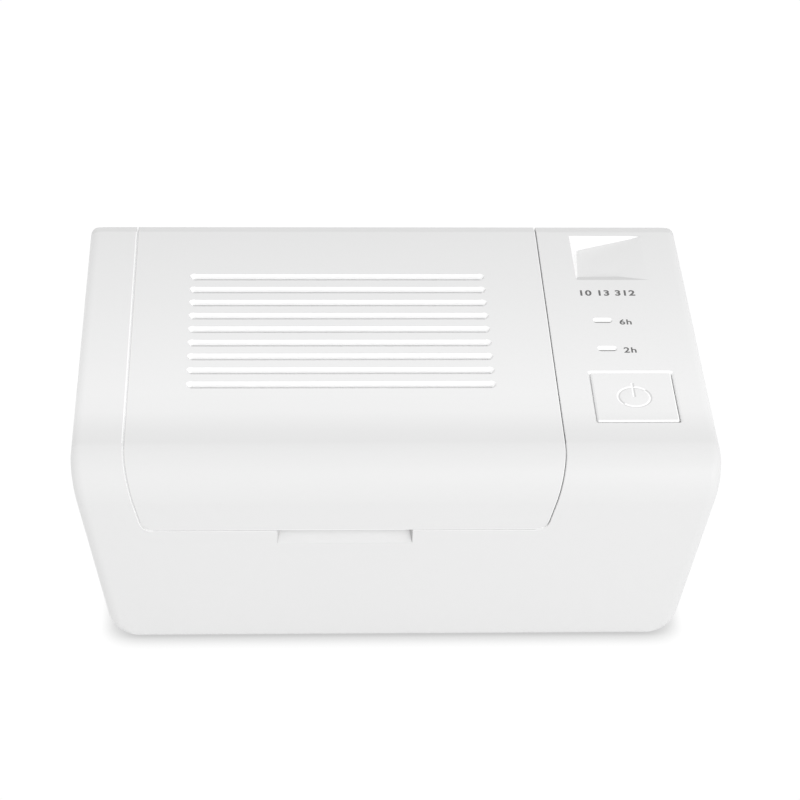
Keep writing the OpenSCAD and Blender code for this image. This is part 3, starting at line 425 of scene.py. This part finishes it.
def split_faces(shape):
    """Splits the faces with many corners into triangles that keep their holes open."""
    bmesh.ops.remove_doubles(shape, verts=shape.verts, dist=2 * WELD)
    bmesh.ops.dissolve_degenerate(shape, edges=shape.edges, dist=2 * WELD)
    for face in [f for f in shape.faces if len(f.verts) > QUAD]:
        to_flat = face.normal.to_track_quat("Z", "Y").inverted()
        corners = list(face.verts)
        flat = [(to_flat @ v.co / MM).to_2d() for v in corners]
        rim = [(i, (i + 1) % len(corners)) for i in range(len(corners))]
        points, _, triangles, origins, _, _ = delaunay_2d_cdt(flat, rim, [], 0, OUTLINE_PRECISION)
        if not all(origins):
            continue
        sides = [(flat[i], flat[j]) for i, j in rim]
        kind = face.material_index
        shape.faces.remove(face)
        for triangle in triangles:
            own = [corners[origins[i][0]] for i in triangle]
            middle = sum((points[i] for i in triangle), Vector((0, 0))) / len(triangle)
            if is_inside(middle, sides) and not shape.faces.get(own):
                shape.faces.new(own).material_index = kind


# %% [markdown]
# A bmesh becomes a piece in a few steps that every piece shares: its faces are painted, it
# turns into an object, and weighted normals keep its big faces flat beside the small rounded
# ones. Modifiers are baked at once, so that the plain mesh holds what is seen.

# %% Objects, paint and shading
def to_object(name, shape, *materials):
    """A mesh object with these materials from a bmesh, which it uses up."""
    mesh = bpy.data.meshes.new(name)
    shape.to_mesh(mesh)
    shape.free()
    for material in materials:
        mesh.materials.append(material)
    return linked(name, mesh)


def worked_out(item):
    """The plain mesh of an object as its modifiers or its text make it."""
    view = bpy.context.evaluated_depsgraph_get()
    return bpy.data.meshes.new_from_object(item.evaluated_get(view), depsgraph=view)


def bake(piece):
    """Turns a piece's modifiers into its plain mesh."""
    mesh = worked_out(piece)
    piece.modifiers.clear()
    old = piece.data
    piece.data = mesh
    bpy.data.meshes.remove(old)
    mesh.name = piece.name
    return piece


def paint(shape, choose):
    """Gives each face the number of its material: choose(centre, normal), or None to leave it."""
    for face in shape.faces:
        chosen = choose(face.calc_center_median(), face.normal)
        if chosen is not None:
            face.material_index = chosen


def smoothed(piece, choose=None):
    """Splits a piece's large faces and shades it smooth, with those faces kept flat."""
    shape = bmesh.new()
    shape.from_mesh(piece.data)
    if choose:
        paint(shape, choose)
    split_faces(shape)
    for face in shape.faces:
        face.smooth = True
    shape.to_mesh(piece.data)
    shape.free()
    piece.data.set_sharp_from_angle(angle=SHARP_ANGLE)
    piece.modifiers.new("weighted", "WEIGHTED_NORMAL").keep_sharp = True
    return bake(piece)


# %% [markdown]
# A dressed copy takes the place of its CAD node: it rides on the same body and hides the plain
# one. The finishes could be kept on separate pieces, but one piece with several materials has
# no joins, so each face is told its finish by where it lies and which way it faces.

# %% Copies that stand for CAD nodes
def body_of_node(node):
    return frame["nodes"][node]["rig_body"]


def rounded_copy(name, node, radius, slot, *materials, choose=None, repaint=None, part_at=None):
    """The piece that stands for a CAD node: its copy with rounded edges. choose paints the
    faces before they are rounded, and repaint after it. part_at is a place on Y where the faces
    are parted first, so that the two sides can be painted apart."""
    shape = welded(node)
    if part_at is not None:
        whole = shape.verts[:] + shape.edges[:] + shape.faces[:]
        bmesh.ops.bisect_plane(shape, geom=whole, plane_co=(0, part_at, 0), plane_no=(0, 1, 0))
    if choose:
        paint(shape, choose)
    round_edges(shape, radius)
    piece = smoothed(to_object(name, shape, *materials), repaint)
    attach(piece, body_of_node(node))
    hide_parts(node)
    print(f"{name}: {len(piece.data.polygons)} faces for {node}")
    return piece


# %% [markdown]
# The lid is the main piece: a panel that wraps down over the front edge, with nine louvres
# whose flared upper edges are glossier and get a painted highlight. The flares are the only
# sloped faces near the flat top, so one test on height and slope finds them all, in place of a
# list of faces. The seam's walls get a painted glow of their own, bright in the seam on the left,
# which is lit, and faint in the seam on the right, which is not.
# A part of a face's normal says how far the face turns that way, from leaning to square.

# %% Lid and its louvre flares
LID_LOW, LID_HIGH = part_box("lid")
TOP = LID_HIGH.z
EDGE = 0.2 * MM
FLARE_DEPTH = 1 * MM
CROWN_Y = LID_LOW.y + 12 * MM
APRON_TAPER = 5 * MM
APRON_FOOT = LID_LOW.z + 3 * MM
LOWER_RIM = LID_LOW.z + 0.5 * MM
GAP_ROOM = 1 * MM
LEANING, HALFWAY, STEEP, SQUARE = 0.3, 0.5, 0.8, 0.95


def seam_painted_glow(centre, facing):
    """The painted glow of a wall of the lid's seam: bright on the left, faint on the right, pale
    where it faces down at the lid's foot. facing is the wall's direction seen from the lid.
    """
    if abs(facing.y) > HALFWAY or centre.z > TOP - WELD or centre.z < LID_LOW.z - GAP_ROOM:
        return PLAIN
    if facing.x < -STEEP and centre.x < LID_LOW.x + APRON_TAPER:
        return BRIGHT
    if facing.x > STEEP and centre.x > LID_HIGH.x - APRON_TAPER:
        return DIM
    return PALE if facing.z < -LEANING and centre.z < APRON_FOOT else PLAIN


def lid_polish_and_painted_light(centre, normal):
    """The flares are glossier and get a painted highlight, except at the two round ends of each
    slot. Other faces get the seam's painted glow.
    """
    is_flare = (TOP - FLARE_DEPTH < centre.z < TOP - WELD and centre.y > CROWN_Y
                and normal.y < -LEANING and abs(normal.x) < STEEP)
    return POLISHED_HIGHLIGHT if is_flare else seam_painted_glow(centre, normal)


def lid_rim_painted_light(centre, normal):
    """The lid's lower edge gets a painted glow for the light from the ledge below it. The rounding
    of its right edge gets a painted highlight where it catches the lamp, and that of its left
    edge painted shade."""
    if centre.z < APRON_FOOT:
        return FAINT if centre.z < LOWER_RIM and normal.z < -LEANING else None
    if centre.y > LID_HIGH.y - GAP_ROOM or not LEANING < abs(normal.x) < STEEP:
        return None
    if centre.x > LID_HIGH.x - APRON_TAPER and normal.x > 0:
        return BRIGHT
    return SHADED if centre.x < LID_LOW.x + APRON_TAPER and normal.x < 0 else None


rounded_copy("lid_shell", "lid", EDGE, "white_shell", *SHELL_FINISHES_AND_PAINTED_LIGHT,
             choose=lid_polish_and_painted_light, repaint=lid_rim_painted_light)

# %% [markdown]
# The housing is one moulding: walls, deck, control strip and the battery rest, a shallow
# pocket that gets deeper towards its rear left corner. Its two tall walls, the window rims and
# the rear edge of the button hole face the light: the polished ones are glossier, and all get a
# painted highlight. The ramp in front of the rest, the finger scoop with its two ends and the
# front rims of the windows get painted shade, and the seam walls share the lid's painted glow.
# Most faces are named before the rounding, and a few rims after it.

# %% Housing
BUTTON_LOW, BUTTON_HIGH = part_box("power_button")
WINDOW_LOW, WINDOW_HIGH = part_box("light_pipe_front")[0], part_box("light_pipe_rear")[1]
POCKET_DEPTH = 4 * MM
REST_FRONT, REST_RIGHT = WINDOW_HIGH.y + 10 * MM, 56 * MM
SCOOP_MIDDLE, SCOOP_HALF, SCOOP_DROP = (LID_LOW.x + LID_HIGH.x) / 2, 14.5 * MM, 5 * MM
RIM_DEPTH = 0.3 * MM


def rest_polish_and_painted_light(normal):
    """The battery rest's two tall walls get painted highlights where they take the light, and the
    ramp before it gets painted shade.
    """
    if normal.y < -HALFWAY:
        return POLISHED_HIGHLIGHT
    if normal.x > HALFWAY:
        return BRIGHT
    return SHADED if normal.y > LEANING and normal.z > STEEP else PLAIN


def housing_polish_and_painted_light(centre, normal):
    """The finish of a face before the edges are rounded: plain, polished with a painted highlight,
    a seam's painted glow, or the rest's painted highlight and shade.
    """
    if not LID_LOW.z - GAP_ROOM < centre.z < TOP - WELD:
        return PLAIN
    if centre.x < BUTTON_LOW.x - GAP_ROOM:
        is_seam = LID_LOW.x - GAP_ROOM < centre.x < LID_HIGH.x + GAP_ROOM
        return seam_painted_glow(centre, -normal) if is_seam else PLAIN
    if centre.z < TOP - POCKET_DEPTH:
        return PLAIN
    if centre.y > REST_FRONT and centre.x < REST_RIGHT:
        return rest_polish_and_painted_light(normal)
    by_window = WINDOW_LOW.y < centre.y < WINDOW_HIGH.y and centre.x < WINDOW_HIGH.x
    by_button = BUTTON_LOW.y - GAP_ROOM < centre.y < BUTTON_HIGH.y + GAP_ROOM
    return POLISHED_HIGHLIGHT if (by_window or by_button) and normal.y < -LEANING else PLAIN


def scoop_painted_shade(normal):
    """Painted shade in the scoop: its floor a little darker under the lid, its right end darkest
    and its left end shaded.
    """
    if abs(normal.x) < HALFWAY:
        return RECESS_SHADE
    return DEEP_SHADE if normal.x < 0 else SHADED


def housing_rim_painted_light(centre, normal):
    """The few rounded rims and corners that differ from the walls beside them: painted shade in
    the scoop and on the windows' front rims, a painted highlight on the rim by the left seam.
    """
    if (abs(centre.x - SCOOP_MIDDLE) < SCOOP_HALF and centre.y < CROWN_Y
            and LID_LOW.z - SCOOP_DROP < centre.z < LID_LOW.z):
        return scoop_painted_shade(normal)
    if not TOP - RIM_DEPTH < centre.z < TOP - WELD:
        return None
    by_left_seam = abs(centre.x - LID_LOW.x) < GAP_ROOM and centre.y > CROWN_Y
    if by_left_seam and LEANING < normal.x < SQUARE:
        return BRIGHT
    by_window = (WINDOW_LOW.x < centre.x < WINDOW_HIGH.x
                 and WINDOW_LOW.y - GAP_ROOM < centre.y < WINDOW_HIGH.y)
    return DEEP_SHADE if by_window and normal.y > LEANING else None


rounded_copy("housing_shell", "housing", EDGE, "white_shell", *SHELL_FINISHES_AND_PAINTED_LIGHT,
             choose=housing_polish_and_painted_light, repaint=housing_rim_painted_light)

# %% [markdown]
# The other mouldings and pressed parts need no second finish, only their own tool radius. A
# table of names, radii in millimetres and materials keeps them to one line each.

# %% Mouldings and plates
PLAIN_PIECES = [
    ("base_shell", "base_cover", 0.2, "white_shell", shell_white),
    ("chamber_liner", "chamber_tub", 0.3, "soft_white", soft_white),
    ("tray_moulding", "aid_tray", 0.25, "soft_white", soft_white),
    ("lid_liner_plate", "lid_liner", 0.2, "soft_white", soft_white),
    ("socket_moulding", "power_socket", 0.2, "black_moulding", small["black_moulding"]),
    ("foot_pads", "rubber_feet", 0.25, "grey_rubber", small["grey_rubber"]),
    ("stop_buffers", "lid_bumpers", 0.2, "grey_rubber", small["grey_rubber"]),
    ("warm_plate", "heater_plate", 0.15, "alloy", small["rolled_alloy"]),
    ("clamp_strap", "heater_clamp", 0.12, "steel", small["plated_steel"]),
]
for name, node, radius, slot, material in PLAIN_PIECES:
    rounded_copy(name, node, radius * MM, slot, material)

# %% [markdown]
# Two light pipes close the windows, a little below the face. Their tops are frosted, and the
# front strip of each lies in the shade of its window's rim. It is painted as a strip of its
# own, since the soft light of the tent would give it hardly any shadow.

# %% Light pipes
PIPE_EDGE = 0.08 * MM
SHADE_BACK = 0.1 * MM
CLEAR, IN_SHADE = 0, 1


def light_pipe(name, node):
    """A frosted pipe whose top is shaded up to SHADE_BACK before its middle."""
    low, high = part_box(node)
    strip = (low.y + high.y) / 2 - SHADE_BACK

    def choose(centre, normal):
        return IN_SHADE if centre.y < strip and normal.z > HALFWAY else CLEAR

    rounded_copy(name, node, PIPE_EDGE, "frosted", frosted, window_shade, part_at=strip,
                 choose=choose)


light_pipe("rear_window", "light_pipe_rear")
light_pipe("front_window", "light_pipe_front")

# %% [markdown]
# Some pieces need forms that follow a rule: a sweep along a ring, a spiral, four copies set out
# on a rectangle. Geometry Nodes make those. One helper builds the tree with named inputs, runs
# it once on a mesh and keeps the plain result, and a Boolean cuts one result out of another.

# %% Geometry Nodes helpers
def run_tree(name, mesh, wire_up, sizes, material):
    """Builds a geometry tree whose named inputs are sizes, runs it once on a mesh, and returns
    the result as a plain mesh object. wire_up(net, source, size) gives the last geometry."""
    tree = bpy.data.node_groups.new(name, "GeometryNodeTree")
    sockets = tree.interface
    sockets.new_socket("Geometry", in_out="INPUT", socket_type="NodeSocketGeometry")
    keys = {key: sockets.new_socket(key, in_out="INPUT", socket_type="NodeSocketFloat").identifier
            for key in sizes}
    sockets.new_socket("Geometry", in_out="OUTPUT", socket_type="NodeSocketGeometry")
    net = Net(tree)
    given = {socket.name: Wire(net, socket) for socket in tree.nodes.new("NodeGroupInput").outputs}
    built = wire_up(net, given["Geometry"], given)
    whole = net.add("GeometryNodeRealizeInstances", {"Geometry": built})
    coated = net.add("GeometryNodeSetMaterial", {"Geometry": whole, "Material": material})
    net.add("NodeGroupOutput", {"Geometry": coated})
    piece = linked(name, mesh)
    modifier = piece.modifiers.new(name, "NODES")
    modifier.node_group = tree
    for key, value in sizes.items():
        modifier[keys[key]] = value
    return bake(piece)


def join(net, *parts):
    """Joins geometries in a tree. The Join node takes many links in one socket."""
    joined = net.add("GeometryNodeJoinGeometry")
    for part in reversed(parts):
        net.tree.links.new(part.socket, joined.socket.node.inputs[0])
    return joined


def sweep(net, path, profile):
    """A profile curve swept along a path, with its ends closed."""
    return net.add("GeometryNodeCurveToMesh",
                   {"Curve": path, "Profile Curve": profile, "Fill Caps": True})


def at(net, x=0.0, y=0.0, z=0.0):
    return net.add("ShaderNodeCombineXYZ", {"X": x, "Y": y, "Z": z})


def carve(piece, cutter):
    """Cuts one mesh object out of another. The cut faces keep the cutter's material."""
    knife = piece.modifiers.new("knife", "BOOLEAN")
    knife.operation = "DIFFERENCE"
    knife.solver = "EXACT"
    knife.use_self = True
    knife.object = cutter
    knife.material_mode = "TRANSFER"
    bake(piece)
    bpy.data.objects.remove(cutter)
    return piece


# %% [markdown]
# The button carries the usual sign for power, a ring with a bar, as a shallow groove. It could
# be drawn with a bump, but a groove in the mesh also shows from the side. The tree sweeps a
# diamond profile along the ring and the bar, and the result is cut out of the cap.

# %% Power sign
RING_STEPS = 96
SIGN_CENTRE = Vector((46.7 * MM, -19.45 * MM, TOP))
SIGN_SIZES = {"Ring Radius": 3.15 * MM, "Groove Width": 0.66 * MM, "Groove Depth": 0.12 * MM,
              "Bar Start": 0.0, "Bar End": 4.6 * MM}


def sweep_sign(net, source, size):
    """A diamond profile swept along the ring and the bar, beside whatever the mesh holds."""
    ring = net.add("GeometryNodeCurvePrimitiveCircle",
                   {"Resolution": RING_STEPS, "Radius": size["Ring Radius"]}, mode="RADIUS")
    bar = net.add("GeometryNodeCurvePrimitiveLine", {
        "Start": at(net, y=size["Bar Start"]), "End": at(net, y=size["Bar End"])})
    level = net.add("GeometryNodeSetCurveNormal", {"Curve": join(net, ring, bar)}, mode="Z_UP")
    diamond = net.add("GeometryNodeCurvePrimitiveQuadrilateral", {
        "Width": size["Groove Width"], "Bottom Height": size["Groove Depth"],
        "Top Height": size["Groove Depth"]}, mode="KITE")
    return join(net, source, sweep(net, level, diamond))


empty = bpy.data.meshes.new("empty")
sign = run_tree("power_sign_cutter", empty, sweep_sign, SIGN_SIZES, shell_white)
sign.data.transform(Matrix.Translation(SIGN_CENTRE))
print("sign cutter:", [round(d / MM, 2) for d in sign.dimensions], "mm")

# %% [markdown]
# The cap is one copy of the CAD button with the sign cut in it. Its left wall stands in the lit
# side of the gap and gets a painted glow. The groove's walls get a painted highlight where they
# face the lamp and painted shade where they turn from it, and the front and right rims of the
# cap are polished and get a painted highlight, as the photograph shows.

# %% Power cap
SIGN_REACH = 6 * MM
CAP_RIM = 0.5 * MM
WALL_TURN = 0.9


def cap_polish_and_painted_light(centre, normal):
    """The finish of a face of the cap, after the sign is cut: a painted glow on the left wall, a
    painted highlight or painted shade on the groove's walls, polish and a painted highlight on
    the front and right rims.
    """
    if normal.x < -WALL_TURN:
        return PALE
    if (centre - SIGN_CENTRE).length < SIGN_REACH:
        if normal.z > SQUARE:
            return PLAIN
        return BRIGHT if normal.x > normal.y else SHADED
    is_rim = centre.z > TOP - CAP_RIM and LEANING < normal.z < SQUARE
    return POLISHED_HIGHLIGHT if is_rim and (normal.y < -LEANING or normal.x > LEANING) else PLAIN


blank = to_object("power_cap", welded("power_button"), *SHELL_FINISHES_AND_PAINTED_LIGHT)
cap = smoothed(carve(blank, sign), cap_polish_and_painted_light)
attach(cap, "button_body")
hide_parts("power_button")
print("power_cap:", len(cap.data.polygons), "faces")

# %% [markdown]
# Two drying times are printed beside the windows, and plain cell sizes below the battery rest.
# The front stays bare. Text objects are turned into thin meshes, because a text object's place
# can't be applied to it. The ink stands a hair proud of the shell, so that both are seen.

# %% Printed marks
INK_DEPTH = 0.02 * MM
INK_PROUD = 0.008 * MM
LETTER_SPACING = 1.1
HALF_THICK = 0.5
MARKS = [
    # name, words, centre x, centre y and height in mm, boldness
    ("long_time_mark", "6h", 47.6, 6.0, 1.85, 0.02),
    ("short_time_mark", "2h", 47.5, -3.75, 1.85, 0.02),
    ("cell_size_marks", "10 13 312", 45.0, 16.35, 2.0, 0.03),
]


def text_mesh(name, words, bold):
    """Words as a mesh one unit thick, still in the font's own size."""
    text = bpy.data.curves.new(name, "FONT")
    text.body = words
    text.align_x, text.align_y = "CENTER", "CENTER"
    text.offset = bold
    text.extrude = HALF_THICK
    text.space_character = LETTER_SPACING
    writing = linked(name + "_text", text)
    mesh = worked_out(writing)
    bpy.data.objects.remove(writing)
    return mesh


def printed(name, words, x, y, height, bold):
    """Ink on the top of the housing: words as a thin mesh, height high, about a centre."""
    mesh = text_mesh(name, words, bold)
    low = Vector([min(v.co[i] for v in mesh.vertices) for i in range(3)])
    high = Vector([max(v.co[i] for v in mesh.vertices) for i in range(3)])
    scale = height / (high.y - low.y)
    mesh.transform(Matrix.Translation(-(low + high) / 2))
    mesh.transform(Matrix.Diagonal((scale, scale, INK_DEPTH, 1)))
    mesh.transform(Matrix.Translation((x, y, TOP + INK_PROUD - INK_DEPTH / 2)))
    mesh.materials.clear()
    mesh.materials.append(small["print_ink"])
    piece = linked(name, mesh)
    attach(piece, "base")
    print(f"{name}: {(high.x - low.x) * scale / MM:.1f} mm wide")


for name, words, x, y, height, bold in MARKS:
    printed(name, words, x * MM, y * MM, height * MM, bold)

# %% [markdown]
# Small pan-head screws hold the base, the board and the heater, four at the corners of a
# rectangle each time. One screw is turned on a lathe profile and its cross recess is cut. Its
# measures are multiples of the shank's radius, so one profile serves every size. Spin could
# turn the profile, but it lists the corners in another order each run, and plain rings don't.

# %% One screw
LATHE_STEPS = 32
HEAD_RADIUS, CORE_RADIUS, TIP_RADIUS = 2, 0.8, 0.3
HEAD_PROFILE = [(0, -1), (1.2, -1), (1.6, -0.93), (1.88, -0.75), (HEAD_RADIUS, -0.5),
                (HEAD_RADIUS, 0), (CORE_RADIUS, 0)]
CROSS_ARM = (2.2, 0.42, 1.1)


def lathe(profile):
    """A closed solid turned about Z from pairs of a radius and a height, listed from the lowest
    point on the axis, up the outside, to the highest. A point on the axis is one corner."""
    shape = bmesh.new()
    angles = [2 * math.pi * i / LATHE_STEPS for i in range(LATHE_STEPS)]
    rings = [[shape.verts.new((r * math.cos(a), r * math.sin(a), z)) for a in angles]
             if r else [shape.verts.new((0, 0, z))] * LATHE_STEPS for r, z in profile]
    for low, high in zip(rings, rings[1:]):
        for i in range(LATHE_STEPS):
            j = (i + 1) % LATHE_STEPS
            shape.faces.new(list(dict.fromkeys((low[i], low[j], high[j], high[i]))))
    return shape


def screw_blank(r, length):
    """A pan-head screw that points up, its head's seat at the origin, without its thread."""
    shank = [(CORE_RADIUS * r, length - r), (TIP_RADIUS * r, length), (0, length)]
    profile = [(x * r, z * r) for x, z in HEAD_PROFILE] + shank
    blank = to_object("screw_blank", lathe(profile), small["plated_steel"])
    recess = bmesh.new()
    for angle in (0, math.pi / 2):
        place = Matrix.Translation((0, 0, -r)) @ Matrix.Rotation(angle, 4, "Z")
        arm = Matrix.Diagonal([side * r for side in CROSS_ARM] + [1])
        bmesh.ops.create_cube(recess, size=1, matrix=place @ arm)
    return smoothed(carve(blank, to_object("cross_recess", recess, small["plated_steel"])))


# %% [markdown]
# The thread is a three-sided ridge along a spiral, and the four screws of a set stand at the
# corners of a grid of two by two points. Both follow a rule, so one Geometry Nodes tree adds
# the thread and sets the copies out, for any spread that the CAD node asks for.

# %% Screws with their thread
THREAD_PITCH = 0.45 * MM
TURN_STEPS, RIDGE_SIDES = 16, 3
RIDGE_RADIUS = 0.2
THREAD_START = 3


def set_out_screws(net, source, size):
    """The blank with a spiral thread, at the four corners of a rectangle."""
    spiral = net.add("GeometryNodeCurveSpiral", {
        "Resolution": TURN_STEPS, "Rotations": size["Turns"], "Start Radius": size["Core Radius"],
        "End Radius": size["Core Radius"], "Height": size["Thread Height"]})
    ridge = net.add("GeometryNodeCurvePrimitiveCircle",
                    {"Resolution": RIDGE_SIDES, "Radius": size["Ridge"]}, mode="RADIUS")
    thread = net.add("GeometryNodeTransform", {
        "Geometry": sweep(net, spiral, ridge),
        "Translation": at(net, z=size["Ridge"] * THREAD_START)})
    corners = net.add("GeometryNodeMeshGrid", {
        "Size X": size["Spread X"], "Size Y": size["Spread Y"], "Vertices X": 2, "Vertices Y": 2})
    return net.add("GeometryNodeInstanceOnPoints",
                   {"Points": corners, "Instance": join(net, source, thread)})


def corner_screws(name, node, r):
    """Four screws of shank radius r that stand for a CAD node."""
    low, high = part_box(node)
    head = 2 * HEAD_RADIUS * r
    length = high.z - low.z - r
    thread = length - 2 * r
    blank = screw_blank(r, length)
    blank_mesh = blank.data
    bpy.data.objects.remove(blank)
    sizes = {"Spread X": high.x - low.x - head, "Spread Y": high.y - low.y - head,
             "Turns": thread / THREAD_PITCH, "Core Radius": CORE_RADIUS * r,
             "Ridge": RIDGE_RADIUS * r, "Thread Height": thread}
    screws = run_tree(name, blank_mesh, set_out_screws, sizes, small["plated_steel"])
    seat = ((low.x + high.x) / 2, (low.y + high.y) / 2, low.z + r)
    screws.data.transform(Matrix.Translation(seat))
    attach(screws, "base")
    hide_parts(node)
    print(f"{name}: {len(screws.data.polygons)} faces, {sizes['Turns']:.0f} turns of thread")


corner_screws("case_screws", "base_screws", 1.1 * MM)
corner_screws("circuit_screws", "board_screws", 0.9 * MM)
corner_screws("plate_screws", "heater_screws", 0.9 * MM)

# %% [markdown]
# The rest is seen only through gaps: pins, the heater's ceramic block, the board and what sits
# on it. These CAD nodes are true to shape already, so they stay and only get a finish through
# their object's material slots, which leaves the shared mesh as it came.

# %% Carried-over nodes
KEPT_NODES = {
    "hinge_pins": small["plated_steel"], "heater_element": soft_white,
    "thermal_cutout": small["black_moulding"], "heater_leads": small["red_silicone"],
    "control_board": small["green_laminate"], "board_components": small["black_moulding"],
    "tactile_switch": small["black_moulding"], "switch_plunger": soft_white,
    "indicator_leds": small["led_body"], "socket_contacts": small["brass_contact"],
}
for node, material in KEPT_NODES.items():
    for material_slot in frame["nodes"][node].material_slots:
        material_slot.material = material
print("kept nodes:", len(KEPT_NODES))

# %% [markdown]
# The photograph's ground is pure white and keeps only a thin shadow at the foot of the dryer.
# A white floor under enough light would wash the object out too. So the floor shows itself
# brighter to the camera than it lights the object, through Light Path. Its contact shadow
# comes from an Ambient Occlusion node with a short reach and a ramp, because a real shadow
# would be lost in that brightness.

# %% Floor
FLOOR_HALF = 6.0
FLOOR_GREY = 0.95
FLOOR_SHINE = 1.02
SHADOW_REACH = 4 * MM
SHADOW_SAMPLES = 8
SHADOW_STOPS = [(0.0, 0.5), (0.5, 0.72), (0.8, 0.93), (0.98, 1.0)]


def light_path_mask(net):
    """1 for the rays that show the background: camera, glossy and transmission rays."""
    seen = None
    for output in ("Is Camera Ray", "Is Glossy Ray", "Is Transmission Ray"):
        ray = net.add("ShaderNodeLightPath", output=output)
        seen = ray if seen is None else seen + ray
    return net.add("ShaderNodeClamp", {"Value": seen})


def floor_material():
    """A white floor that keeps only the dryer's contact shadow."""
    material = bpy.data.materials.new("pale_floor")
    net = empty_net(material)
    plain = net.add("ShaderNodeBsdfDiffuse", {"Color": grey(FLOOR_GREY)})
    open_sky = net.add("ShaderNodeAmbientOcclusion", {"Distance": SHADOW_REACH}, output="AO",
                       samples=SHADOW_SAMPLES)
    shadow = net.add("ShaderNodeValToRGB", {"Fac": open_sky}, stops=SHADOW_STOPS)
    shown = net.add("ShaderNodeEmission", {"Color": shadow, "Strength": FLOOR_SHINE})
    mixed = net.add("ShaderNodeMixShader", {0: light_path_mask(net), 1: plain, 2: shown})
    net.add("ShaderNodeOutputMaterial", {"Surface": mixed})
    return material


SQUARE_CORNERS = ((-1, -1), (1, -1), (1, 1), (-1, 1))
floor_mesh = bpy.data.meshes.new("floor")
floor_mesh.from_pydata([(x * FLOOR_HALF, y * FLOOR_HALF, 0) for x, y in SQUARE_CORNERS], [],
                       [(0, 1, 2, 3)])
floor_mesh.materials.append(floor_material())
floor = linked("floor", floor_mesh)
print("floor:", 2 * FLOOR_HALF, "m square")

# %% [markdown]
# The light is an even bright tent with one large soft lamp in front, above and to the right.
# The tent keeps every side pale. The lamp makes the right and front faces a little brighter
# than the left and the rear, as in the photograph.

# %% World and lamp
TENT_STRENGTH = 0.85
LAMP_PLACE = Vector((0.6, -0.8, 0.9))
LAMP_SIZE = 0.8
LAMP_WATTS = 3.75

scene.view_settings.view_transform = "Standard"
scene.world = bpy.data.worlds.new("studio_tent")
net = empty_net(scene.world)
mask = light_path_mask(net)
strength = TENT_STRENGTH * (1 - mask) + mask
backdrop = net.add("ShaderNodeBackground", {"Color": grey(1.0), "Strength": strength})
net.add("ShaderNodeOutputWorld", {"Surface": backdrop})

lamp = linked("key_lamp", bpy.data.lights.new("key_lamp", "AREA"))
lamp.data.energy = LAMP_WATTS
lamp.data.size = LAMP_SIZE
towards_dryer = (-LAMP_PLACE).to_track_quat("-Z", "Y").to_matrix().to_4x4()
lamp.matrix_world = Matrix.Translation(LAMP_PLACE) @ towards_dryer
print("tent", TENT_STRENGTH, "and a lamp of", LAMP_WATTS, "W")
